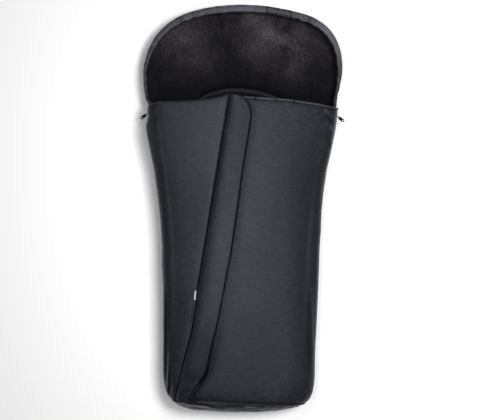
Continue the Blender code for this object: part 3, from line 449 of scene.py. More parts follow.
def shell_material(name="shell_weave", lighten=(1, 1, 1)):
    """Fine woven polyester: a close plain weave, slubs along both threads and a broad uneven tone, with
    painted shade in its folds and seams and painted highlight on its ridges.
    """
    level = 0.62
    shader = Shader(
        name,
        roughness=0.46,
        sheen_weight=0.02,
        sheen_roughness=0.45,
        specular_ior_level=level,
        specular_tint=(0.88, 0.91, 1.0, 1.0),
    )
    cloth = shader.attribute("cloth", "Vector")
    weft = shader.noise(shader.scaled(cloth, (70, 1400, 1)), 1.0, 2.0, 0.6)
    warp = shader.noise(shader.scaled(cloth, (1500, 60, 1)), 1.0, 2.0, 0.6)
    slub = shader.math("ADD", weft, warp)
    broad = shader.noise(shader.place, 9.0, 3.0, 0.55)
    grain = shader.noise(shader.place, 260.0, 2.0, 0.6)
    dark, light = (
        tuple(value * share for value, share in zip(base, lighten))
        for base in ((0.0092, 0.0096, 0.0144), (0.0116, 0.0120, 0.0178))
    )
    tone = shader.mixed(shader.ranged(broad, 0.3, 0.7, 0, 1), dark, light)
    tone = shader.tinted(tone, slub, (0.75, 1.25, 0, 0.30), (0.007, 0.007, 0.010))
    tone = shader.tinted(tone, grain, (0.34, 0.66, 0, 0.44), (0.021, 0.022, 0.031))
    thick = shader.noise(shader.scaled(cloth, (40, 400, 1)), 1.0, 3.0, 0.7)
    thicker = shader.noise(shader.scaled(cloth, (360, 50, 1)), 1.0, 3.0, 0.7)
    threads = shader.math("ADD", thick, shader.math("MULTIPLY", thicker, 0.7))
    tone = shader.tinted(tone, threads, (0.60, 0.86, 0.72, 0), (0.0040, 0.0042, 0.0066))
    tone = shader.tinted(tone, threads, (0.86, 1.12, 0, 0.60), (0.029, 0.031, 0.043))
    fold = shader.attribute("fold")
    # Painted shade: where fold goes up to 1, in seams, creases, crevices and borders, the colour goes
    # nearly black. Painted highlight: where it goes down to -1, on ridges and rolled edges, it goes
    # light grey.
    tone = shader.tinted(tone, fold, (0, 1, 0, 0.92), (0.0015, 0.0015, 0.002))
    tone = shader.tinted(tone, fold, (-1, 0, 0.80, 0), (0.150, 0.150, 0.170))
    rough = shader.ranged(broad, 0.3, 0.7, 0.44, 0.48)
    rough = shader.math("ADD", rough, shader.ranged(fold, 0, 1, 0, 0.45))
    rough = shader.math("ADD", rough, shader.ranged(threads, 0.62, 1.12, 0.08, -0.04))
    shader.link(rough, "Roughness")
    shader.link(shader.ranged(fold, 0.2, 1.2, level, 0), "Specular IOR Level")
    normal = shader.bump(woven(shader, cloth, 0.0011), 0.00010, 0.35)
    normal = shader.bump(slub, 0.0002, 0.3, normal)
    puckers = shader.noise(shader.place, 55.0)
    return shader.finish(tone, shader.bump(puckers, 0.0006, 0.3, normal))


# spots of painted sheen, where the pile is brushed the light way: x, y, reach and strength
NAP_PATCHES = (
    (0.072, 0.408, 0.100, 1.15),
    (0.120, 0.330, 0.070, 0.35),
    (0.020, 0.455, 0.080, 0.30),
    (-0.160, 0.410, 0.085, 0.42),
    (-0.125, 0.345, 0.100, 0.22),
    (0.180, 0.380, 0.060, 0.25),
    (-0.128, 0.425, 0.060, 0.34),
    (-0.110, 0.335, 0.060, 0.34),
    (0.108, 0.330, 0.055, 0.30),
    (0.198, 0.295, 0.032, 0.18),
)


def plush_material():
    """Deep pile: clumped tufts, a brushed nap painted lighter in patches as sheen, painted shade towards
    the mouth and inside the bag, painted shade and highlight at its folds, and a soft halo at grazing
    angles.
    """
    shader = Shader(
        "plush_pile",
        roughness=0.95,
        sheen_weight=0.04,
        sheen_roughness=0.5,
        specular_ior_level=0.1,
        sheen_tint=(0.72, 0.66, 0.74, 1.0),
    )
    brushed = shader.scaled(shader.place, (1.0, 0.55, 1.0))
    tufts = shader.noise(brushed, 270.0, 3.0, 0.65, 0.6)
    clumps = shader.noise(brushed, 62.0, 3.0, 0.6, 0.4)
    patches = shader.noise(shader.place, 17.0, 2.0, 0.5, 0.5)
    wear_and_shade = shader.ranged(shader.split(shader.place)["Y"], 0.27, 0.40, 0.12, 1.0)
    # Painted sheen: the pile is painted lighter mauve in these spots, as where brushed nap catches the
    # light.
    nap_sheen = 0.0
    for x, y, reach, strength in NAP_PATCHES:
        ends = {0: shader.place, 1: (x, y, 0.012)}
        away = shader.node("ShaderNodeVectorMath", ends, operation="DISTANCE").outputs["Value"]
        spot = shader.ranged(away, 0.15 * reach, reach, strength, 0)
        nap_sheen = shader.math("ADD", nap_sheen, spot)
    nap = shader.math("MULTIPLY", shader.ranged(patches, 0.30, 0.66, 0.1, 1), nap_sheen)
    base = shader.mixed(nap, (0.0105, 0.0100, 0.0115), (0.1000, 0.0860, 0.1000))
    # Painted shade: below y 0.40 the pile darkens, mostly dark below 0.27, towards the cover's mouth and
    # inside the bag where the cover shades it; the lighter clumps fade with it.
    base = shader.mixed(wear_and_shade, (0.0062, 0.0060, 0.0070), base)
    clumped = shader.math("MULTIPLY", shader.ranged(clumps, 0.42, 0.70, 0, 0.30), wear_and_shade)
    base = shader.mixed(clumped, base, (0.0560, 0.0490, 0.0560))
    base = shader.tinted(base, tufts, (0.35, 0.62, 0.66, 0), (0.0040, 0.0040, 0.0046))
    fold = shader.attribute("fold")
    # Painted shade: where fold goes up to 1 the pile goes nearly black. Painted highlight: where it goes
    # down to -1 it goes light mauve.
    base = shader.tinted(base, fold, (0, 1, 0, 0.85), (0.0015, 0.0015, 0.0018))
    base = shader.tinted(base, fold, (-1, 0, 0.75, 0), (0.0800, 0.0720, 0.0800))
    return shader.finish(base, shader.bump(clumps, 0.0060, 0.6, shader.bump(tufts, 0.0040, 0.8)))


def tape_material():
    """Woven zip tape: a fine twill rib."""
    shader = Shader("tape_twill", roughness=0.8, sheen_weight=0.2)
    parts = shader.split(shader.place)
    slant = shader.math("ADD", parts["Y"], shader.math("ADD", parts["Z"], parts["X"]))
    ribs = shader.waves(slant, 0.0009)
    grain = shader.noise(shader.place, 900.0)
    tone = shader.mixed(shader.ranged(ribs, -1, 1, 0, 1), (0.007, 0.007, 0.008), (0.016, 0.016, 0.019))
    tone = shader.tinted(tone, grain, (0.3, 0.7, 0, 0.4), (0.024, 0.024, 0.028))
    return shader.finish(tone, shader.bump(ribs, 0.0001, 0.6))


def plastic_material():
    """Moulded zip plastic with a faint grain."""
    shader = Shader("zip_moulded", roughness=0.42)
    grain = shader.noise(shader.place, 1200.0)
    blotch = shader.noise(shader.place, 90.0)
    tone = shader.mixed(blotch, (0.008, 0.008, 0.009), (0.014, 0.014, 0.016))
    tone = shader.tinted(tone, grain, (0.4, 0.7, 0, 0.3), (0.022, 0.022, 0.025))
    shader.link(shader.ranged(blotch, 0.3, 0.7, 0.36, 0.5), "Roughness")
    return shader.finish(tone, shader.bump(grain, 0.00006, 0.5))


def metal_material():
    """Black lacquered die casting, with wear that leaves it a little lighter where it rubs."""
    shader = Shader("slider_lacquer", roughness=0.36, metallic=0.55)
    wear_and_shade = shader.noise(shader.place, 420.0, 3.0, 0.6)
    fine = shader.noise(shader.place, 2200.0)
    edge = shader.ranged(shader.node("ShaderNodeNewGeometry").outputs["Pointiness"], 0.52, 0.60, 0, 0.5)
    tone = shader.mixed(wear_and_shade, (0.010, 0.010, 0.011), (0.018, 0.018, 0.020))
    tone = shader.mixed(shader.math("MULTIPLY", edge, wear_and_shade), tone, (0.16, 0.16, 0.17))
    shader.link(shader.ranged(wear_and_shade, 0.3, 0.7, 0.30, 0.46), "Roughness")
    return shader.finish(tone, shader.bump(fine, 0.00004, 0.4))


def rubber_material():
    """Moulded pull tab, matt with a fine pebble."""
    shader = Shader("tab_rubber", roughness=0.6, specular_ior_level=0.2)
    cells = {"Vector": shader.place, "Scale": 1500.0}
    pebble = shader.node("ShaderNodeTexVoronoi", cells).outputs["Distance"]
    wear = shader.noise(shader.place, 300.0)
    tone = shader.mixed(wear, (0.003, 0.003, 0.0035), (0.006, 0.006, 0.007))
    tone = shader.tinted(tone, pebble, (0.2, 0.8, 0.2, 0), (0.012, 0.012, 0.013))
    shader.link(shader.ranged(wear, 0.3, 0.7, 0.42, 0.58), "Roughness")
    return shader.finish(tone, shader.bump(pebble, 0.00008, 0.5))


def ribbed_material(name, low, high, pitch, roughness=0.75, ridge=(0.1, 0.1, 0.1)):
    """Narrow woven ribbon or twisted filament: ribs across its length."""
    shader = Shader(name, roughness=roughness, sheen_weight=0.2)
    parts = shader.split(shader.place)
    cross = shader.math("MULTIPLY", shader.waves(parts["X"], pitch), 0.5)
    height = shader.math("ADD", shader.waves(parts["Y"], pitch), cross)
    grain = shader.noise(shader.place, 1500.0)
    tone = shader.mixed(shader.ranged(height, -1.5, 1.5, 0, 1), low, high)
    tone = shader.tinted(tone, grain, (0.35, 0.7, 0.5, 0), tuple(0.6 * value for value in low))
    tone = shader.tinted(tone, shader.attribute("fold"), (-1, -0.1, 1, 0), ridge)
    return shader.finish(tone, shader.bump(height, pitch / 9, 0.6))


# the shell's material and its slot
SHELL_FABRIC = shell_material(), "shell_fabric"
RIM_CLOTH = shell_material("rim_weave", (6.4, 6.1, 4.5))
PILE = plush_material()
TAPE = tape_material()
PLASTIC = plastic_material()
METAL = metal_material()
RUBBER = rubber_material()
COIL = ribbed_material("coil_filament", (0.006, 0.006, 0.007), (0.030, 0.030, 0.033), 0.0016, 0.45)
BINDING = ribbed_material("binding_ribbon", (0.009, 0.009, 0.010), (0.020, 0.020, 0.022), 0.0008)
LABEL_TONES = (0.004, 0.004, 0.005), (0.009, 0.009, 0.010)
LABEL = ribbed_material("label_satin", *LABEL_TONES, 0.0005, 0.5, (0.50, 0.50, 0.49))


# ---- the cover ----


def placket_xy(down, across):
    """Plan points by their distances down the flap's seam and across from it."""
    x = -PLACKET_LEFT + DOWN[0] * down + ACROSS[0] * across
    y = PLACKET_Y + DOWN[1] * down + ACROSS[1] * across
    return x, y


def placket_down_across(x, y):
    dx, dy = x + PLACKET_LEFT, y - PLACKET_Y
    return dx * DOWN[0] + dy * DOWN[1], dx * ACROSS[0] + dy * ACROSS[1]


def seam_across(down):
    """The flap's seam: straight, then turning towards the side at the foot."""
    places = (-0.01, 0.450, 0.490, 0.530, 0.560, 0.609, 0.640, 0.675, 0.725)
    offsets = (0.0, 0.0, 0.0026, 0.0034, 0.0023, -0.0032, -0.0062, -0.0088, -0.0115)
    return np.interp(down, places, offsets)


def free_across(down):
    """The flap's free edge: a round top corner, then nearly parallel and narrower at the foot."""
    places = (-0.002, 0.003, 0.010, 0.020, 0.030, 0.041, 0.165, 0.249, 0.356, 0.451, 0.516)
    widths = (0.0270, 0.0355, 0.0440, 0.0510, 0.0555, 0.0583, 0.0585, 0.0608, 0.0628, 0.0605, 0.0587)
    places += (0.540, 0.562, 0.586, 0.609, 0.640, 0.654, 0.666, 0.678, 0.690, 0.702, 0.725)
    widths += (0.0580, 0.0555, 0.0534, 0.0523, 0.0500, 0.0466, 0.0418, 0.0366, 0.0312, 0.0262, 0.0235)
    reach = 0.007 * smooth((down - 0.45) / 0.05)
    return sum(np.interp(down + step * reach, places, widths) for step in (-1, -0.5, 0, 0.5, 1)) / 5


def mouth_line(x):
    """The cover's top edge, peaked where the flap's seam meets it."""
    places = (-0.2215, -0.198, -0.125, -0.079, -0.052, -0.033, 0.001, 0.106, 0.176, 0.2215)
    heights = (0.2385, 0.2455, 0.248, 0.253, 0.2595, 0.2645, 0.261, 0.255, 0.246, 0.2375)
    return np.interp(x, places, heights)


# How far the sheet ends before the hem and the foot seam, where its rounded edge stands out instead
HEM_SETBACK, FOOT_SETBACK = 0.004, 0.0005
# The hem's stitching below the mouth line, the notches in it, and where the panel begins to follow it
HEM_LEFT, HEM_RIGHT = 0.0045, 0.0068
HEM_NOTCHES, HEM_FROM = (0.029, 0.078, 0.120), 0.170
# Lengths of the left and the right panel's section, which set its number of points
PANEL_REACH = {-1: 0.26, 1: 0.31}


def cover_crown(x, y, angle):
    """How far the stuffed cover stands above or below its flat form."""
    middle = side_half_width(np.clip(y, FOOT_Y, None)) - 0.048
    across = 1 - np.clip(np.abs(x) / middle, 0, 1.15) ** 2
    places = (-0.46, -0.36, -0.24, -0.08, 0.08, 0.20, 0.27)
    along = np.interp(y, places, (-0.25, 0.10, 0.62, 0.96, 1.0, 0.86, 0.70))
    return (0.0125 * across * along - 0.0045) * smooth(angle / QUARTER) ** 1.5


def side_lean(x, y):
    """How far the lower left of the cover sinks towards its side."""
    return 0.0055 * smooth((-0.100 - x) / 0.070) * smooth((-0.08 - y) / 0.20)


def crevice(down):
    """The share of the painted shade in the crevice along the flap that it keeps: the crevice closes at
    the foot seam.
    """
    return 1 - 0.85 * smooth((down - 0.698) / 0.012)


def patchy(points):
    """The share of its painted highlight and shade that a seam keeps, which comes and goes along it."""
    return 0.55 + 0.45 * noise_at(points, 0.035, 57.0)


def panel_rows(side):
    """Rows of the panel from its side edge to the zip, with each point's section angle and distance."""
    rows = int((MOUTH_SIDE_Y - FOOT_SEAM_Y) / CLOTH_STEP)
    columns = int(PANEL_REACH[side] / CLOTH_STEP)
    share = np.linspace(0, 1, 420) ** 2
    wall = (COVER_EDGE, (COVER_EDGE + COVER_STRAIGHT) / 2)
    lines = []
    for y in np.linspace(FOOT_SEAM_Y + SEAT / 2 + FOOT_SETBACK, MOUTH_SIDE_Y - HEM_SETBACK, rows):
        edge = side * float(half_width(y))
        down = (PLACKET_Y - y) / -DOWN[1]
        for _ in range(3):
            gap = CHANNEL_HALF_WIDTH * (1 - float(smooth((down - ZIP_END) / 0.012))) + SEAT / 2
            across = ZIP_FROM_SEAM + side * gap
            down = (PLACKET_Y + ACROSS[1] * across - y) / -DOWN[1]
        x = edge + (placket_xy(down, across)[0] - edge) * share
        angle = section_angle(depth_at(x, y, COVER_ROUND), COVER_ROUND)
        z = cover_height(angle)
        x = x + np.sign(x) * np.clip(np.sin(2 * angle), 0, 1) ** 0.7 * side_puff(y, side)
        x, *others = even_section(((edge, wall, 0), (x, z, angle)), columns)
        lines.append((x, y, *others))
    return gathered(lines)


# the painted highlight on a crease's ridge and painted shade in its groove, for a metre of its height:
# low at the cover's left and elsewhere on it, on the gusset, and on the flap where it rises and where it
# falls
PANEL_CREASE_SHADING, GUSSET_CREASE_SHADING, FLAP_CREASE_SHADING = (480, 260), 700, (400, 170)
# creases in the cover: start, end, width and height
PANEL_CREASES = (
    ((-0.1805, -0.130), (-0.1790, -0.440), 0.0024, 0.0014),
    ((-0.1730, -0.180), (-0.1745, -0.430), 0.0032, -0.0016),
    ((-0.1660, -0.330), (-0.1700, -0.440), 0.0026, 0.0015),
    ((-0.1600, -0.350), (-0.1640, -0.452), 0.0024, -0.0012),
    ((-0.1530, -0.415), (-0.1620, -0.450), 0.0022, 0.0012),
    ((0.1700, -0.160), (0.1715, -0.330), 0.0024, 0.0013),
    ((0.1630, -0.180), (0.1640, -0.400), 0.0036, -0.0013),
    ((0.1900, 0.236), (0.2120, 0.212), 0.0034, 0.0016),
    ((0.1930, 0.222), (0.2130, 0.196), 0.0034, -0.0018),
    ((0.1960, 0.206), (0.2120, 0.178), 0.0034, 0.0014),
    ((0.1960, 0.180), (0.2070, 0.140), 0.0038, -0.0012),
    ((-0.2010, 0.232), (-0.2140, 0.205), 0.0034, 0.0006),
    ((-0.1980, 0.215), (-0.2120, 0.182), 0.0036, -0.0008),
    ((0.1580, -0.360), (0.1660, -0.430), 0.0040, 0.0006),
)


def panel_shade_and_highlight(x, y, side):
    """Painted shade and highlight on a cover panel, by point: shade in the hem's stitching and its
    notches, in the flap's seam and crevice, on the sides' slopes and in creases' grooves; highlight on
    the hem's rolled edge, along the foot seam, on the side edges and on creases' ridges.
    """
    down, across = placket_down_across(x, y)
    flat = stacked(x, y, 0)
    broken = 0.72 + 0.28 * noise_at(flat, 0.007, 51.0)
    to_mouth = mouth_line(x) - y
    hem = to_mouth - np.where(x > 0, HEM_RIGHT, HEM_LEFT)
    # Painted shade in the hem's stitching, and a painted highlight along its rolled edge.
    fold = 0.85 * broken * bell(hem, 0.0011) - 0.50 * bell(to_mouth - HEM_SETBACK, 0.0015)
    # A painted highlight along the foot seam.
    fold -= 0.30 * patchy(flat) * bell(y - FOOT_SEAM_Y - 0.0030, 0.0013)
    inset = side_half_width(np.clip(y, FOOT_Y, MOUTH_SIDE_Y)) - np.abs(x)
    if side > 0:
        # Painted shade in the crevice by the flap's free edge, wider and deeper towards the foot.
        off_flap = across - free_across(down) - 0.0005
        wide = 0.0026 + 0.0085 * smooth((down - 0.52) / 0.14)
        deep = (1 + 0.7 * smooth((down - 0.625) / 0.03)) * crevice(down)
        fold += deep * (1 - smooth(off_flap / wide))
        # Painted shade in the hem's notches.
        for notch in HEM_NOTCHES:
            fold += 1.4 * bell(x - notch, 0.0024) * bell(to_mouth - 0.002, 0.0040)
        # Painted shade on the side's slope, and painted light bounced from the floor along the very
        # edge.
        fold += 0.26 * bell(inset - 0.017, 0.008) - 0.34 * (1 - smooth((inset + 0.001) / 0.007))
    else:
        # Painted shade in the flap's seam groove, and in a second line beside it lower down.
        groove = across - seam_across(down)
        second = smooth((down - 0.492) / 0.006) * smooth((0.545 - down) / 0.02)
        fold += 1.2 * bell(groove + 0.0004, 0.0014) + 0.8 * second * bell(groove + 0.0058, 0.0011)
        # Painted light bounced from the floor along the left edge, strongest low down; painted shade on
        # the side's slope; the upper left painted a little lighter.
        edge = (0.06 + 0.50 * smooth((-0.08 - y) / 0.10)) * (1 - smooth((inset - 0.002) / 0.006))
        fold += 0.42 * bell(inset - 0.014, 0.008) - 0.05 * smooth((y - 0.02) / 0.12) - edge
    # Creases: a painted highlight on their ridges and painted shade in their grooves.
    low_left, others = PANEL_CREASE_SHADING
    chosen = lambda end, _: low_left if side < 0 and end[1] < -0.4 else others
    return fold - creases(PANEL_CREASES, x, y, 0.8, chosen)


# how far the foot's edge lies outside its even form, by the direction from its middle in degrees
FOOT_TURNS = (-175, -161, -155, -146, -139, -132, -124, -115, -104, -92, -69, -59, -51, -43, -35)
FOOT_SHIFTS = (-0.6, -0.4, 0.6, -0.4, 0.4, 0, -2.0, -1.6, -1.0, -1.1, -1.4, -2.5, -3.2, -3.3, -2.0)
FOOT_TURNS += (-31, -27, -23, -19, -12, -4)
FOOT_SHIFTS += (1.6, 3.8, 3.0, 0.8, 0, 0)


def edge_moved(points, end, aside, begin, span, shift):
    """Moves the points near a round end's outline outwards by shift in millimetres. aside is how far
    out each lies, and begin and span say from where to where in it the move grows to full."""
    end_width, length, centre, exponent, direction = end
    x, y, _ = points.T
    along = np.clip(direction * (y - centre) / length, 0, None)
    near = smooth(((aside**exponent + along**exponent) ** (1 / exponent) - begin) / span)
    out_x = np.sign(x) * aside ** (exponent - 1) / end_width
    out_y = direction * along ** (exponent - 1) / length
    move = 0.001 * shift * near / (np.hypot(out_x, out_y) + 1e-9)
    return points + stacked(move * out_x, move * out_y, 0)


def foot_shape(points):
    """Moves the foot's edge to its outline as sewn: shallow at the middle, full at the right corner."""
    x, y, _ = points.T
    turn = np.degrees(np.arctan2(y + 0.36, x))
    shift = np.interp(turn, FOOT_TURNS, FOOT_SHIFTS) * smooth((-0.335 - y) / 0.03)
    return edge_moved(points, FOOT, np.abs(x) / FOOT_HALF_WIDTH, 0.78, 0.20, shift)


def sewn(points):
    """Moves points near the foot seam along with its uneven line and to the foot's outline."""
    x, y, _ = points.T
    places = (-0.160, -0.110, -0.087, -0.027, 0.027, 0.124, 0.160)
    offsets = (-0.0010, -0.0006, 0.0044, 0.0010, -0.0014, -0.0052, -0.0040)
    shift = np.interp(x, places, offsets) * bell(y - FOOT_SEAM_Y, 0.014)
    return foot_shape(points + stacked(0, shift, 0))


def panel_relief(points, arc, angle, side):
    """How far the cloth stands out from the plain form, by its seams, puckers and creases."""
    x, y = points[..., 0], points[..., 1]
    down, across = placket_down_across(x, y)
    seed = 3.1 if side > 0 else 7.7
    to_zip = np.clip(np.abs(across - ZIP_FROM_SEAM) - CHANNEL_HALF_WIDTH, 0, None)
    to_foot = y - FOOT_SEAM_Y
    to_mouth = mouth_line(x) - y
    broad = noise_at(points, 0.130, seed)
    middle = noise_at(points * (1.0, 0.55, 1.0), 0.050, seed + 4)
    small = noise_at(points * (1.0, 0.6, 1.0), 0.018, seed + 8)
    lift = cover_crown(x, y, angle)
    relief = lift + 0.0012 * broad + 0.0005 * middle + 0.00014 * small
    if side > 0:
        relief -= (0.0015 + np.clip(lift, 0, None)) * bell(to_zip, 0.030) + 0.0030 * bell(to_zip, 0.045)
        off_flap = np.clip(across - free_across(down), 0, None)
        relief -= 0.0048 * smooth((down - 0.50) / 0.14) * bell(off_flap, 0.013)
        relief -= 0.0022 * smooth((x - 0.105) / 0.06) * smooth((0.20 - y) / 0.10)
        for notch in HEM_NOTCHES:
            relief -= 0.0016 * bell(x - notch, 0.0035) * bell(to_mouth - 0.003, 0.005)
    else:
        groove = across - seam_across(down)
        relief -= 0.0026 * bell(groove, 0.0022) + 0.0005 * bell(np.clip(-groove, 0, None), 0.010)
        relief -= (0.0035 + np.clip(lift, 0, None)) * smooth((groove + 0.001) / 0.008)
        relief -= side_lean(x, y) * (0.35 + 0.65 * smooth(angle / 0.6))
    hem = to_mouth - np.where(x > 0, HEM_RIGHT, HEM_LEFT)
    relief -= 0.0012 * bell(hem, 0.0014) + 0.0007 * bell(hem - 0.0030, 0.004)
    relief += creases(PANEL_CREASES, x, y) - 0.0004 * bell(to_foot, 0.0025)
    length = points * (0.3, 1, 0.3)
    stitches = noise_at(length, 0.009, seed + 12) + noise_at(length, 0.022, seed + 14)
    relief += 0.00035 * stitches * bell(arc - 0.012, 0.010) * (1 - bell(to_mouth, 0.03))
    pulls = np.sin(x * 2 * math.pi / 0.021 + 4 * middle)
    reach = 0.0005 * bell(to_foot - 0.010, 0.012) + 0.00014 * bell(to_mouth - 0.018, 0.012)
    return relief + reach * pulls


def make_panel(side, side_name):
    """A cover panel from its side edge to the zip, and its plush."""
    points, angles, arcs = panel_rows(side)
    x, y = points[..., 0], points[..., 1]
    share = (y - HEM_FROM) / (MOUTH_SIDE_Y - HEM_SETBACK - HEM_FROM)
    y += (mouth_line(x) - MOUTH_SIDE_Y) * smooth(share)
    flat = points.reshape(-1, 3)
    rows, columns = angles.shape
    faces, normals = turned(flat, grid_faces(rows, columns), rows // 2 * columns + columns // 2)
    outer = flat + normals * panel_relief(points, arcs, angles, side).reshape(-1, 1)
    from_tape = flat[:, 2] - COVER_TAPE_Z
    inner = flat - normals * pad_thickness(angles.ravel(), from_tape)[:, None]
    cloth = stacked(side * (0.3 - arcs), y, 0)
    bulge = np.full(angles.shape, 0.0008)
    bulge[-1], bulge[0] = HEM_SETBACK, FOOT_SETBACK
    name = f"cover_{side_name}"
    panel = closed(name, sewn(outer), sewn(inner), faces, cloth, bulge, *SHELL_FABRIC)
    paint_shade_and_print(panel, panel_shade_and_highlight(outer[:, 0], outer[:, 1], side))
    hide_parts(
        f"front_{side_name}_shell", f"front_{side_name}_wadding", f"front_{side_name}_facing"
    )
    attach(panel, "front_cover")

    nap = 0.0006 * noise_at(flat, 0.009, 2.0) + 0.0007 * noise_at(flat, 0.030, 5.0)
    flat[-columns:, 1] -= 0.0006
    lining = plush_lining(
        f"{name}_plush", flat, normals, angles.ravel(), faces, cloth, nap, from_tape < 0, sewn, 0.0006
    )
    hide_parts(f"front_{side_name}_lining")
    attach(lining, "front_cover")


for side, side_name in ((-1, "left"), (1, "right")):
    make_panel(side, side_name)


# creases in the foot gusset: start, end, width and height
GUSSET_CREASES = (
    ((-0.165, -0.4500), (-0.0300, -0.4755), 0.0014, 0.0030),
    ((-0.160, -0.4450), (-0.0400, -0.4690), 0.0018, -0.0008),
    ((-0.105, -0.4560), (-0.0150, -0.4585), 0.0013, 0.0005),
    ((0.010, -0.4600), (0.0420, -0.4610), 0.0014, 0.0012),
    ((-0.010, -0.4690), (0.0600, -0.4735), 0.0016, -0.0006),
    ((0.075, -0.4640), (0.1300, -0.4670), 0.0013, 0.0007),
)


def make_gusset():
    """The foot gusset: lines from the foot seam round to the back's wall."""
    share = 1 - (1 - np.linspace(0, 1, 300)) ** 2
    start = FOOT_SEAM_Y - SEAT / 2 - FOOT_SETBACK
    wall = (COVER_STRAIGHT, (COVER_STRAIGHT + WALL_TOP) / 2, WALL_TOP + SEAT)
    lines = []
    for x in float(half_width(FOOT_SEAM_Y)) * np.sin(np.linspace(-QUARTER, QUARTER, 250)) * 0.9995:
        across = (abs(x) / FOOT_HALF_WIDTH) ** FOOT_EXPONENT
        low = FOOT_Y - FOOT_ROUND * (1 - across) ** (1 / FOOT_EXPONENT)
        y = start + (min(low, start) - start) * share
        angle = section_angle(depth_at(x, y, COVER_ROUND), COVER_ROUND)
        lines.append((x, *even_section(((y, cover_height(angle), angle), (y[-1], wall, 0)), 42)))
    points, angles, arcs = gathered(lines)
    rows, columns = angles.shape
    x, y = points[..., 0], points[..., 1]
    flat = points.reshape(-1, 3)
    middle = rows // 2 * columns + columns // 2
    faces, normals = turned(flat, grid_faces(rows, columns), middle, 1, -1)
    small = noise_at(points, 0.016, 1.0)
    lines = creases(GUSSET_CREASES, x, y)
    pulls = np.sin(x * 2 * math.pi / 0.024 + 4 * small)
    relief = lines - 0.0004 * bell(arcs, 0.0025) - 0.0016 * bell(arcs - arcs[:, -1:], 0.005)
    relief += 0.0008 * pulls * bell(arcs - 0.012, 0.012) + 0.0006 * small
    relief += 0.0008 * noise_at(points, 0.060, 6.0)
    outer = flat + normals * relief.reshape(-1, 1)
    inner = flat - normals * pad_thickness(angles.ravel(), flat[:, 2] - COVER_TAPE_Z)[:, None]
    cloth = stacked(x, -arcs, 0)
    outer, inner = sewn(outer), sewn(inner)
    gusset = closed("foot_gusset", outer, inner, faces, cloth, FOOT_SETBACK, *SHELL_FABRIC, 4)
    # Painted shade along its seam and on its borders, a painted highlight on the creases' ridges and
    # painted shade in their grooves.
    paint_shade_and_print(gusset, 0.06 * patchy(points) * bell(arcs, 0.0014) - GUSSET_CREASE_SHADING * lines, 0.5)
    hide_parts("foot_gusset_shell", "foot_gusset_wadding")
    nap = 0.0006 * noise_at(flat, 0.009, 2.0)
    lining = plush_lining(
        "foot_gusset_plush", flat, normals, angles.ravel(), faces, cloth, nap, False, sewn, 0.0005
    )
    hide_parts("foot_gusset_lining")
    for piece in (gusset, lining):
        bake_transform(piece)


make_gusset()


# creases at the flap's tacked end: start and end down and across, width and height
FLAP_CREASES = (
    ((0.660, 0.008), (0.714, -0.008), 0.0022, 0.0006),
    ((0.694, 0.022), (0.712, 0.002), 0.0016, 0.0009),
    ((0.684, 0.016), (0.706, 0.004), 0.0016, -0.0010),
    ((0.664, 0.037), (0.692, 0.020), 0.0014, 0.0012),
    ((0.672, 0.030), (0.700, 0.015), 0.0014, -0.0007),
    ((0.648, 0.040), (0.682, 0.024), 0.0018, 0.0007),
    ((0.650, 0.033), (0.684, 0.018), 0.0016, -0.0007),
)


# where the flap's sheet starts, and how far it keeps from its seam, its free edge and the foot seam
FLAP_START, FLAP_SEAM_GAP, FLAP_FREE_GAP, FLAP_FOOT_GAP = -0.0010, 0.0006, 0.0016, 0.0022


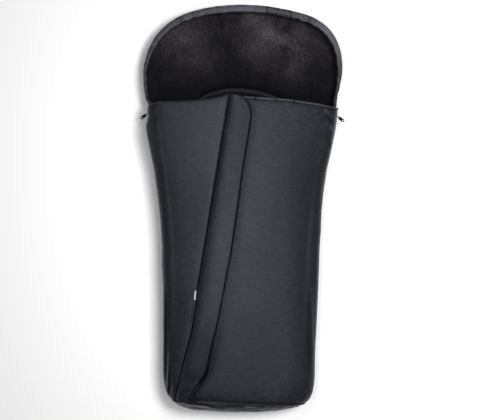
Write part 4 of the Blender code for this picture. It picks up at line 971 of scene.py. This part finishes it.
def make_flap():
    """The placket flap: sewn in a groove at the left, puffed, with a soft turned-over free edge, and
    painted shade at its seam, free edge and lower end.
    """
    rows, columns = 270, 34
    share = np.linspace(0, 1, rows)[:, None]
    even = np.linspace(0, 1, columns)
    width_share = 0.65 * (1 - np.cos(math.pi * even)) / 2 + 0.35 * even
    down = FLAP_START + share * (0.7195 - FLAP_START)
    for _ in range(4):
        left = seam_across(down) + FLAP_SEAM_GAP
        right = free_across(down) - FLAP_FREE_GAP
        across = left + (right - left) * width_share
        end = (PLACKET_Y + ACROSS[1] * across - (FOOT_SEAM_Y + FLAP_FOOT_GAP)) / -DOWN[1]
        down = FLAP_START + share * (end - FLAP_START)
    x, y = placket_xy(down, across)
    angle = section_angle(depth_at(x, y, COVER_ROUND), COVER_ROUND)
    sunk = -0.004 * smooth((down - 0.645) / 0.03)
    base = cover_height(angle) + np.clip(cover_crown(x, y, angle), sunk, None) - side_lean(x, y)
    from_seam, from_free = across - left, right - across
    arch = np.sin(np.pi * np.clip(from_seam / (right - left), 0, 1) ** 0.85) ** 0.9
    tacked = smooth((down - 0.630) / 0.080)
    under = base + SEAT + 0.0050 * (1 - 0.60 * tacked) * arch
    raised = smooth(from_seam / 0.010)
    top = under + (0.0034 + 0.0014 * bell(from_free, 0.010)) * raised + 0.0012 * (1 - raised)
    plain = np.stack([x, y, top], axis=-1)
    wave = noise_at(plain * (1.0, 0.5, 1.0), 0.045, 11.0)
    fine = noise_at(plain * (1.0, 0.6, 1.0), 0.015, 13.0)
    dent = 0.0005 * bell(y - FOOT_SEAM_Y, 0.0030) + 0.0020 * bell(from_seam, 0.0022)
    top += (0.0008 * wave + 0.00025 * fine) * smooth(from_seam / 0.012) - dent
    top += creases(FLAP_CREASES, down, across)
    outer, inner = stacked(x, y, top), stacked(x, y, np.minimum(under - dent - 0.0004, top - 0.0008))
    faces, _ = turned(outer, grid_faces(rows, columns), rows * columns // 2)
    cloth = stacked(from_seam + 0.05, -down, 0)
    bulge = np.full(x.shape, 0.0006)
    bulge[:, -1], bulge[0] = 0.0018, 0.0014
    flap = closed("placket", sewn(outer), sewn(inner), faces, cloth, bulge, *SHELL_FABRIC, 6)
    # Painted shade in the seam, along the free edge and in the crevice at its lower end, at the foot
    # seam, over the upper part and the lower part, and on the borders; a painted highlight on the
    # creases' ridges and painted shade in their grooves.
    fold = bell(from_seam, 0.0014) + 0.8 * crevice(down) * bell(from_free, 0.0008)
    fold += 0.10 * bell(y - FOOT_SEAM_Y, 0.0014) + 0.08 * (1 - smooth((down - 0.20) / 0.15))
    fold += 0.7 * crevice(down) * smooth((down - 0.640) / 0.02) * bell(from_free, 0.0022)
    fold += 0.30 * smooth((down - 0.48) / 0.10)
    fold -= creases(FLAP_CREASES, down, across, 1.0, lambda _, height: FLAP_CREASE_SHADING[height < 0])
    paint_shade_and_print(flap, fold, 0.8)
    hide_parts("placket_flap", "placket_flap_end")
    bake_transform(flap)


make_flap()


# the label's ends down the seam, its front edge and the ends of the bar on it
LABEL_ENDS, LABEL_FRONT, BAR_ENDS = (0.4570, 0.4860), 0.0088, (0.4600, 0.4825)


def make_label(panel):
    """The woven tag, its back edge caught in the flap's seam, lying on the left panel."""
    rows, columns = 30, 12
    down = np.linspace(*LABEL_ENDS, rows)[:, None]
    from_seam = np.linspace(-LABEL_FRONT, 0.0008, columns)
    across = from_seam + seam_across(down)
    x, y = placket_xy(down, across)
    seen = np.array([v.co for v in panel.data.vertices])
    near = (np.abs(seen[:, 0] - x.mean()) < 0.02) & (np.abs(seen[:, 1] - y.mean()) < 0.03)
    seen = seen[near & (seen[:, 2] > 0.08)]
    away = np.hypot(seen[:, 0] - x[..., None], seen[:, 1] - y[..., None])
    under = np.where(away < 0.0022, seen[:, 2], -1).max(axis=-1)
    low = under + 0.0002 + 0.0010 * smooth((0.004 - from_seam - LABEL_FRONT) / 0.004)
    outer, inner = stacked(x, y, low + 0.0006), stacked(x, y, low)
    faces, _ = turned(outer, grid_faces(rows, columns), rows * columns // 2)
    label = closed("label", outer, inner, faces, stacked(across, down, 0), 0.0002, LABEL, "woven_tag", 3)
    ends = smooth((down - BAR_ENDS[0]) / 0.0008) * smooth((BAR_ENDS[1] - down) / 0.0008)
    paint_shade_and_print(label, -ends * smooth((0.0022 - np.abs(from_seam + 0.0046)) / 0.0008))
    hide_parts("woven_tag")
    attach(label, "front_cover")


make_label(bpy.data.objects["cover_left"])


# ---- the back ----


def arch_y(x):
    """The harness panel's arched top edge."""
    places = (-0.106, -0.102, -0.092, -0.079, -0.052, -0.036, 0.0005, 0.034, 0.067, 0.093, 0.103, 0.106)
    heights = (0.246, 0.260, 0.268, 0.274, 0.282, 0.2852, 0.2856, 0.2806, 0.272, 0.262, 0.255, 0.245)
    return np.interp(x, places, heights)


def plan_point(place, inset):
    """The right-hand outline, moved in by inset. place runs 0 to 1 round the head, to 2 down the side
    and to 3 round the foot."""
    if 1 <= place <= 2:
        y = WIDEST_Y + (FOOT_Y - WIDEST_Y) * (place - 1)
        return float(side_half_width(y)) - inset, y
    end_width, length, centre, exponent, direction = HEAD if place < 1 else FOOT
    angle = QUARTER * (1 - place if place < 1 else place - 2)
    power = 2 / exponent
    across = math.cos(angle) ** power if angle < QUARTER - 1e-9 else 0.0
    return (end_width - inset) * across, centre + direction * (length - inset) * math.sin(angle) ** power


def even_places(start, end, step):
    """Places evenly along the outline, step apart."""
    dense = np.linspace(start, end, 3000)
    line = np.array([plan_point(p, 0.0) for p in dense])
    along = lengths_along(line)
    return np.interp(np.linspace(0, along[-1], int(along[-1] / step)), along, dense)


def place_of(y):
    """The place down the side at y, as in plan_point."""
    return 1 + (y - WIDEST_Y) / (FOOT_Y - WIDEST_Y)


def back_sheet():
    """The back's outside from its wall top to the middle of its floor, both halves."""
    places = even_places(0, 3, 0.0042)
    for y in SLOT_ROWS:
        places[np.argmin(np.abs(places - place_of(y)))] = place_of(y)
    angle = np.linspace(0, QUARTER, 200)
    inset = BACK_ROUND * (1 - np.clip(np.cos(angle), 0, None) ** (2 / SECTION_EXPONENT))
    height = BACK_STRAIGHT * (1 - np.sin(angle) ** (2 / SECTION_EXPONENT))
    wall = (WALL_TOP, (WALL_TOP + BACK_STRAIGHT) / 2)
    insets, heights, angles, _ = even_section(((0, wall, 0), (inset, height, angle)), 22)
    fixed = stops((0.110, SLOT_OUT, 10), (SLOT_OUT, SLOT_IN, 4), (SLOT_IN, SLOT_HALF, 11))
    fixed = np.append(fixed, (0.0032, 0.0))
    rows = []
    for place in places:
        row = [(*plan_point(place, i), z) for i, z in zip(insets, heights)]
        x_end, y_end, z_end = row[-1]
        scale = min(1.0, x_end / 0.118)
        floor = np.append(np.linspace(x_end, fixed[0] * scale, 13)[1:-1], fixed * scale)
        rows.append(row + [(x, y_end, z_end) for x in floor])
    count, columns = len(rows), len(rows[0])
    right = np.reshape(rows, (-1, 3))
    faces = grid_faces(count, columns)
    faces = np.concatenate((faces, faces[:, ::-1] + len(right)))
    points = np.concatenate((right, right * (-1, 1, 1)))
    angles = np.tile(np.append(angles, np.full(columns - len(angles), QUARTER)), 2 * count)
    points, faces, angles = merged(points, without_slots(points, faces), angles)
    low = points[:, 2] < 0.0002
    faces, normals = turned(points, faces, low, sign=-1)
    normals[low] = (0, 0, -1)
    return points, faces, angles, normals


# how far the head's edge lies outside its even form, by the direction from its middle in degrees
HEAD_TURNS = (-14, -8, -3, 2, 8, 13, 18, 24, 28, 32, 38, 45, 51, 57, 63, 70, 78, 92)
HEAD_SHIFTS = (-0.5, -1.0, 0, 1.2, 2.2, 2.6, 4.0, 4.9, 6.1)
HEAD_SHIFTS += (7.3, 6.9, 4.8, 2.0, -0.4, -1.6, -1.2, -0.4, 0)
HEAD_TURNS += (99, 106, 113, 120, 130, 139, 147, 156, 161, 165, 169, 172, 175, 178, 184, 187, 190, 193)
HEAD_SHIFTS += (-0.4, -1.6, -2.2, -2.4, -2.2, -2.8, -3.7, -3.0, -1.8)
HEAD_SHIFTS += (0, 1.8, 3.2, 4.4, 5.6, 6.7, 7.0, 6.0, 4.0)


def head_shape(points):
    """Moves the head's edge to its outline as sewn: full at the upper right, slim at the upper left."""
    x, y, z = points.T
    widths = np.where(y > WIDEST_Y, HEAD_HALF_WIDTH, side_half_width(np.clip(y, 0, WIDEST_Y)))
    turn = np.mod(np.degrees(np.arctan2(y - 0.29, x)) + 90, 360) - 90
    shift = np.interp(turn, HEAD_TURNS, HEAD_SHIFTS) * smooth(z / 0.024) * smooth((y - 0.2385) / 0.018)
    return edge_moved(points, HEAD, np.abs(x) / widths, 0.70, 0.26, shift)


def both_shapes(points):
    """Moves the head's and the foot's edges to their outlines as sewn."""
    return foot_shape(head_shape(points))


def make_back():
    """The back's padded shell, and the plush inside it."""
    points, faces, angles, normals = back_sheet()
    x, y, z = points.T
    rounded = smooth(angles / 0.4) * smooth((QUARTER - angles) / 0.4)
    broad = noise_at(points, 0.110, 21.0)
    small = noise_at(points * (1, 0.7, 1), 0.022, 23.0)
    pulls = noise_at(points * (0.3, 1, 0.3), 0.012, 25.0)
    relief = (0.0010 * broad + 0.0004 * small) * rounded
    relief += 0.0005 * pulls * bell(z - 0.026, 0.006) - 0.0010 * bell(z - WALL_TOP, 0.003)
    outer = points + normals * np.where(z < 0.0004, 0, relief)[:, None]
    outer[:, 2] = np.maximum(outer[:, 2], 0)
    inner = points - normals * pad_thickness(angles, BACK_TAPE_Z - z)[:, None]
    cloth = stacked(x + np.sign(x) * (0.036 - z) * rounded, y, 0)
    outer, inner = both_shapes(outer), both_shapes(inner)
    back = closed("back_outer", outer, inner, faces, cloth, 0.0004, *SHELL_FABRIC, 3)
    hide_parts("back_shell", "back_wadding", "seat_panel_shell")
    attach(back, "back")

    under_panel = (np.abs(x) < 0.109) & (y > HARNESS_FOOT_Y - 0.003) & (y < 0.289)
    nap = 0.0011 * noise_at(points, 0.042, 31.0) + 0.0005 * noise_at(points, 0.010, 33.0)
    nap = np.where(under_panel, np.minimum(nap, 0) - 0.0002, nap)
    lining = plush_lining(
        "back_plush", points, normals, angles, faces, cloth, nap, z > BACK_TAPE_Z, both_shapes, 0.0004
    )
    # Painted shadow on the plush just above the harness panel's arch, painted shade where the plush
    # meets the head band, and painted shade under the cover's mouth.
    above = y - arch_y(np.clip(x, -HARNESS_EDGE, HARNESS_EDGE))
    arch_shadow = 0.8 * bell(np.clip(above - 0.002, 0, None), 0.010) * (np.abs(x) < 0.115) * (above > -0.004)
    broken = 0.85 + 0.3 * noise_at(points, 0.010, 35.0)
    seam = 1.2 * broken * bell(np.clip(0.0300 - z, 0, None), 0.0070)
    mouth = 0.6 * (1 - smooth((y - mouth_line(x) + 0.001) / 0.007))
    paint_shade_and_print(lining, arch_shadow + np.maximum(seam, mouth) * (y > 0.1))
    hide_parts("back_lining", "seat_panel_lining")
    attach(lining, "back")


make_back()


def make_harness_panel():
    """The plush panel over the back's lining, its arched edge puffed up."""
    half = stops((0, SLOT_HALF, 3), (SLOT_HALF, SLOT_IN, 13), (SLOT_IN, SLOT_OUT, 4))
    rim = np.sin(np.linspace(0, QUARTER, 14))[1:]
    half = np.append(half, SLOT_OUT + (HARNESS_EDGE - SLOT_OUT) * rim)
    xs = np.append(-half[:0:-1], half)
    body = np.linspace(HARNESS_FOOT_Y + 0.001, 0.2335, 84)
    for y in SLOT_ROWS:
        body[np.argmin(np.abs(body - y))] = y
    head = 1 - (1 - np.linspace(0, 1, 20)[1:, None]) ** 1.5
    y = body[-1] + head * (arch_y(xs) - ARCH_SETBACK - body[-1])
    y = np.concatenate((np.tile(body[:, None], len(xs)), y))
    x = np.broadcast_to(xs, y.shape)
    edge = np.minimum(arch_y(x) - y, (HARNESS_HALF_WIDTH - np.abs(x)) * 1.3)
    floor, height = LINING_FLOOR + SEAT, 0.0042
    plain = np.stack([x, y, np.full(x.shape, floor + height)], axis=-1)
    rise = height + 0.0032 * bell(edge - 0.008, 0.006) - 0.0022 * bell(edge - 0.0195, 0.0030)
    rise += 0.0007 * noise_at(plain, 0.030, 41.0) + 0.0004 * noise_at(plain, 0.009, 43.0)
    outer, inner = stacked(x, y, floor + rise), stacked(x, y, floor)
    faces, _ = turned(outer, without_slots(outer, grid_faces(*x.shape)), len(xs) * 5 + 2)
    used, faces = np.unique(faces, return_inverse=True)
    faces = faces.reshape(-1, 4)
    outer, inner = outer[used], inner[used]
    x, y, _ = outer.T
    bulge = np.where(np.abs(np.abs(x) - HARNESS_EDGE) < 1e-4, 0.0005, 0.0)
    bulge = np.where(np.abs(arch_y(x) - ARCH_SETBACK - y) < 1e-4, ARCH_SETBACK, bulge)
    panel = closed("harness_plush", outer, inner, faces, outer * (1, 1, 0), bulge, PILE, "plush", 6)
    from_arch = arch_y(x) - y
    # A painted highlight along the arch's puffed edge and on the borders, and painted shade further
    # down, under the cover.
    ridge = -0.36 * bell(from_arch - 0.005, 0.0045)
    paint_shade_and_print(panel, ridge + 0.7 * smooth((from_arch - 0.012) / 0.008), -0.15)
    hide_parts("harness_panel")
    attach(panel, "back")


make_harness_panel()


# points round the band, its width at the mouth and at the top, half its height, and the ends of the
# patch sewn on it
BAND_SIDES, BAND_WIDTHS, BAND_HALF_HEIGHT, PATCH_X = 28, (0.0084, 0.0185), 0.007, (0.054, 0.113)
# dents and folds across the band, which are also painted, with shade where the depth is above 0 and a
# highlight where it is below: x, y, width and depth
BAND_DIPS = (
    (-0.120, 0.455, 0.0030, 0.0012),
    (-0.110, 0.458, 0.0045, 0.0018),
    (-0.135, 0.450, 0.0060, -0.0006),
    (-0.150, 0.444, 0.0040, 0.0016),
    (0.140, 0.454, 0.0035, 0.0014),
    (0.1535, 0.448, 0.0032, 0.0042),
    (0.222, 0.290, 0.0300, 0.0009),
    (0.163, 0.440, 0.0040, 0.0014),
    (0.030, 0.470, 0.0050, 0.0008),
    (-0.050, 0.468, 0.0060, 0.0007),
    (0.212, 0.330, 0.0200, 0.0006),
)


def make_head_band():
    """The padded band round the head: puckered at its inner seam, flattened a little here and there."""
    half = even_places(0, place_of(MOUTH_SIDE_Y + 0.0035), 0.0017)
    places = [(-1, place) for place in half[:0:-1]] + [(1, place) for place in half]
    line = np.array([plan_point(place, 0.0) for _, place in places])
    line[:, 0] *= [side for side, _ in places]
    shares = np.arange(BAND_SIDES) / BAND_SIDES
    turn = 2 * math.pi * (np.arange(BAND_SIDES) + 0.5) / BAND_SIDES
    across, up = (np.sign(part) * np.abs(part) ** 0.8 for part in (np.cos(turn), np.sin(turn)))
    seam = bell(turn - math.pi * 0.80, 0.55) + bell(turn - math.pi * 0.22, 0.5)
    crown = bell(turn - math.pi * 0.30, 0.14) + bell(turn - math.pi * 0.66, 0.14)
    points, cloth, band_shades = [], [], []
    for (side, place), (_, y0), distance in zip(places, line, lengths_along(line)):
        share = float(np.clip((y0 - WIDEST_Y) / HEAD_ROUND, 0, 1))
        narrow, wide = BAND_WIDTHS
        width = narrow + (wide - narrow) * share**0.7 + 0.0030 * (side > 0) * bell(y0 - 0.328, 0.030)
        notch = 0.0026 * bell(y0 - 0.270, 0.005) if side > 0 else 0.0016 * bell(y0 - 0.262, 0.009)
        puff, pucker, fold, waver, wobble = (
            noise.noise(Vector((distance / size, seed, 0)))
            for size, seed in ((0.085, 3.3), (0.011, 7.7), (0.030, 1.7), (0.014, 5.1), (0.019, 9.9))
        )
        swell = 0.05 * puff + 0.03 * fold * np.maximum(up, 0) + 0.24 * pucker * seam
        inset = width / 2 * (1 - across * (1 + np.where(across < 0, swell, 0.4 * swell + 0.05 * wobble)))
        inset += 0.0028 * waver * np.maximum(-across, 0)
        x, y = plan_point(place, inset + notch * np.maximum(across, 0))
        x = side * x
        dips = 0
        for dip_x, dip_y, reach, depth in BAND_DIPS:
            dips += depth * bell(x - dip_x, reach) * bell(y - dip_y, 0.02)
        patch = np.minimum(x - PATCH_X[0], PATCH_X[1] - x)
        inside = smooth((patch + 0.0015) / 0.003)
        z = WALL_TOP + SEAT + BAND_HALF_HEIGHT * (1 + up * (1 + np.where(up > 0, swell, 0)))
        z += np.maximum(up, 0) * (0.0008 * inside - dips)
        points.append(stacked(x, y, z))
        cloth.append(stacked(distance, shares * width * 2.4, 0))
        # The band's tone: darker along its sides than at the top and lighter along its right side;
        # painted shade in its dents and notches and in the crevice at its inner seam; painted shade and
        # highlight on its puckers and its folds; a darker outline and inside on the sewn patch. Its end
        # caps get painted shade.
        tone = -0.30 + 0.42 * (1 - share) ** 0.7 + 130 * dips + 200 * notch
        tone -= 0.60 * (side > 0) * bell(share - 0.45, 0.35)
        tone += (1.5 + 0.8 * pucker) * bell(turn - math.pi * 0.93, 0.30) + 1.1 * pucker * seam
        tone += 0.14 * fold * (up > 0) + 0.6 * inside * crown
        band_shades.append(tone + (0.75 * bell(patch, 0.0016) + 0.16 * inside) * (up > 0.2))
    points = np.concatenate(points)

    def strip(first, second, direction=1):
        """Faces between two rings of points."""
        quads = np.stack([first, np.roll(first, -1), np.roll(second, -1), second], axis=-1)
        return quads[:, ::direction]

    index = np.arange(len(points)).reshape(-1, BAND_SIDES)
    faces = [strip(*rings) for rings in zip(index[:-1], index[1:])]
    for last, direction in ((index[0], -1), (index[-1], 1)):
        ring = points[last]
        middle = ring.mean(axis=0)
        for shrink, drop in ((0.85, 0.0010), (0.5, 0.0016)):
            here = len(points) + np.arange(BAND_SIDES)
            points = np.concatenate((points, middle + (ring - middle) * shrink - (0, drop, 0)))
            faces.append(strip(last, here, direction))
            last = here
        faces.append(strip(last, np.full(BAND_SIDES, len(points)), direction))
        points = np.concatenate((points, [middle - (0, 0.0018, 0)]))
    cloth.append(np.zeros((len(points) - index.size, 3)))
    faces, cloth = np.concatenate(faces), np.concatenate(cloth)
    band = mesh_object("head_band", head_shape(points), faces, cloth, RIM_CLOTH)
    paint_shade_and_print(band, band_shades, 0.5)
    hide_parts("head_rim")
    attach(band, "back")


make_head_band()


# ---- hard pieces and trim from the part ----

FINISHES = {
    "tape": TAPE,
    "coil": COIL,
    "teeth": PLASTIC,
    "stop": PLASTIC,
    "slider": METAL,
    "loop": METAL,
    "pull": METAL,
    "tab": RUBBER,
    "binding": BINDING,
    "tag": LABEL,
}
for name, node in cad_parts.items():
    if node.hide_render:
        continue
    for word, material in FINISHES.items():
        if name.endswith(word):
            node.data.materials.clear()
            node.data.materials.append(material)


# ---- stage, light and camera ----


def floor_material():
    shader = Shader("pale_floor")
    shader.tree.nodes.remove(shader.surface)
    tone = shader.mixed(shader.noise(shader.place, 3.0), (0.90, 0.90, 0.90), (0.915, 0.915, 0.915))
    diffuse = shader.node("ShaderNodeBsdfDiffuse", {"Color": tone})
    seen = shader.seen_by("Is Camera Ray", "Is Transmission Ray", "Is Glossy Ray")
    glow = shader.node("ShaderNodeEmission", {"Strength": shader.math("MULTIPLY", seen, 0.26)})
    inputs = {0: diffuse.outputs["BSDF"], 1: glow.outputs["Emission"]}
    both = shader.node("ShaderNodeAddShader", inputs).outputs[0]
    shader.tree.links.new(both, shader.tree.nodes["Material Output"].inputs["Surface"])
    return shader.material


floor = mesh_object(
    "floor",
    np.array(((-6, -6, 0), (6, -6, 0), (6, 6, 0), (-6, 6, 0)), float) - (0, 0, 0.0002),
    np.array(((0, 1, 2, 3),)),
    None,
    floor_material(),
)

world = bpy.data.worlds.new("studio")
bpy.context.scene.world = world
world.use_nodes = True
sky = Nodes(world.node_tree)
background = sky.tree.nodes["Background"].inputs
background["Color"].default_value = (1, 1, 1, 1)
seen = sky.math("MULTIPLY", sky.seen_by("Is Camera Ray", "Is Transmission Ray"), 0.95)
sky.tree.links.new(sky.math("ADD", seen, 0.05), background["Strength"])


def area_light(name, place, target, size, power, length=0):
    light = bpy.data.lights.new(name, "AREA")
    light.shape = "RECTANGLE" if length else "DISK"
    light.size = size
    if length:
        light.size_y = length
    light.energy = power
    obj = bpy.data.objects.new(name, light)
    bpy.context.scene.collection.objects.link(obj)
    obj.location = place
    obj.rotation_euler = (Vector(target) - Vector(place)).to_track_quat("-Z", "Y").to_euler()
    return obj


area_light("key", (0.92, 0.34, 2.30), (0, 0, 0.05), 0.8, 44).visible_glossy = False
overhead = area_light("overhead", (-0.002, 0.04, 0.78), (-0.002, 0.04, 0), 0.14, 3.4, 1.1)
overhead.rotation_euler.z = math.radians(1)

camera_data = bpy.data.cameras.new("camera")
camera_data.lens = 82.6
camera_data.sensor_width = 36
camera_data.clip_end = 50
camera = bpy.data.objects.new("camera", camera_data)
bpy.context.scene.collection.objects.link(camera)
roll = math.radians(0.78)
up = Vector((-math.sin(roll), math.cos(roll), 0))
axes = Matrix((up.cross(Vector((0, 0, 1))), up, Vector((0, 0, 1)))).transposed().to_4x4()
camera.matrix_world = Matrix.Translation((-0.0026, -0.0047, 2.645)) @ axes
bpy.context.scene.camera = camera
bpy.context.scene.view_settings.view_transform = "Standard"
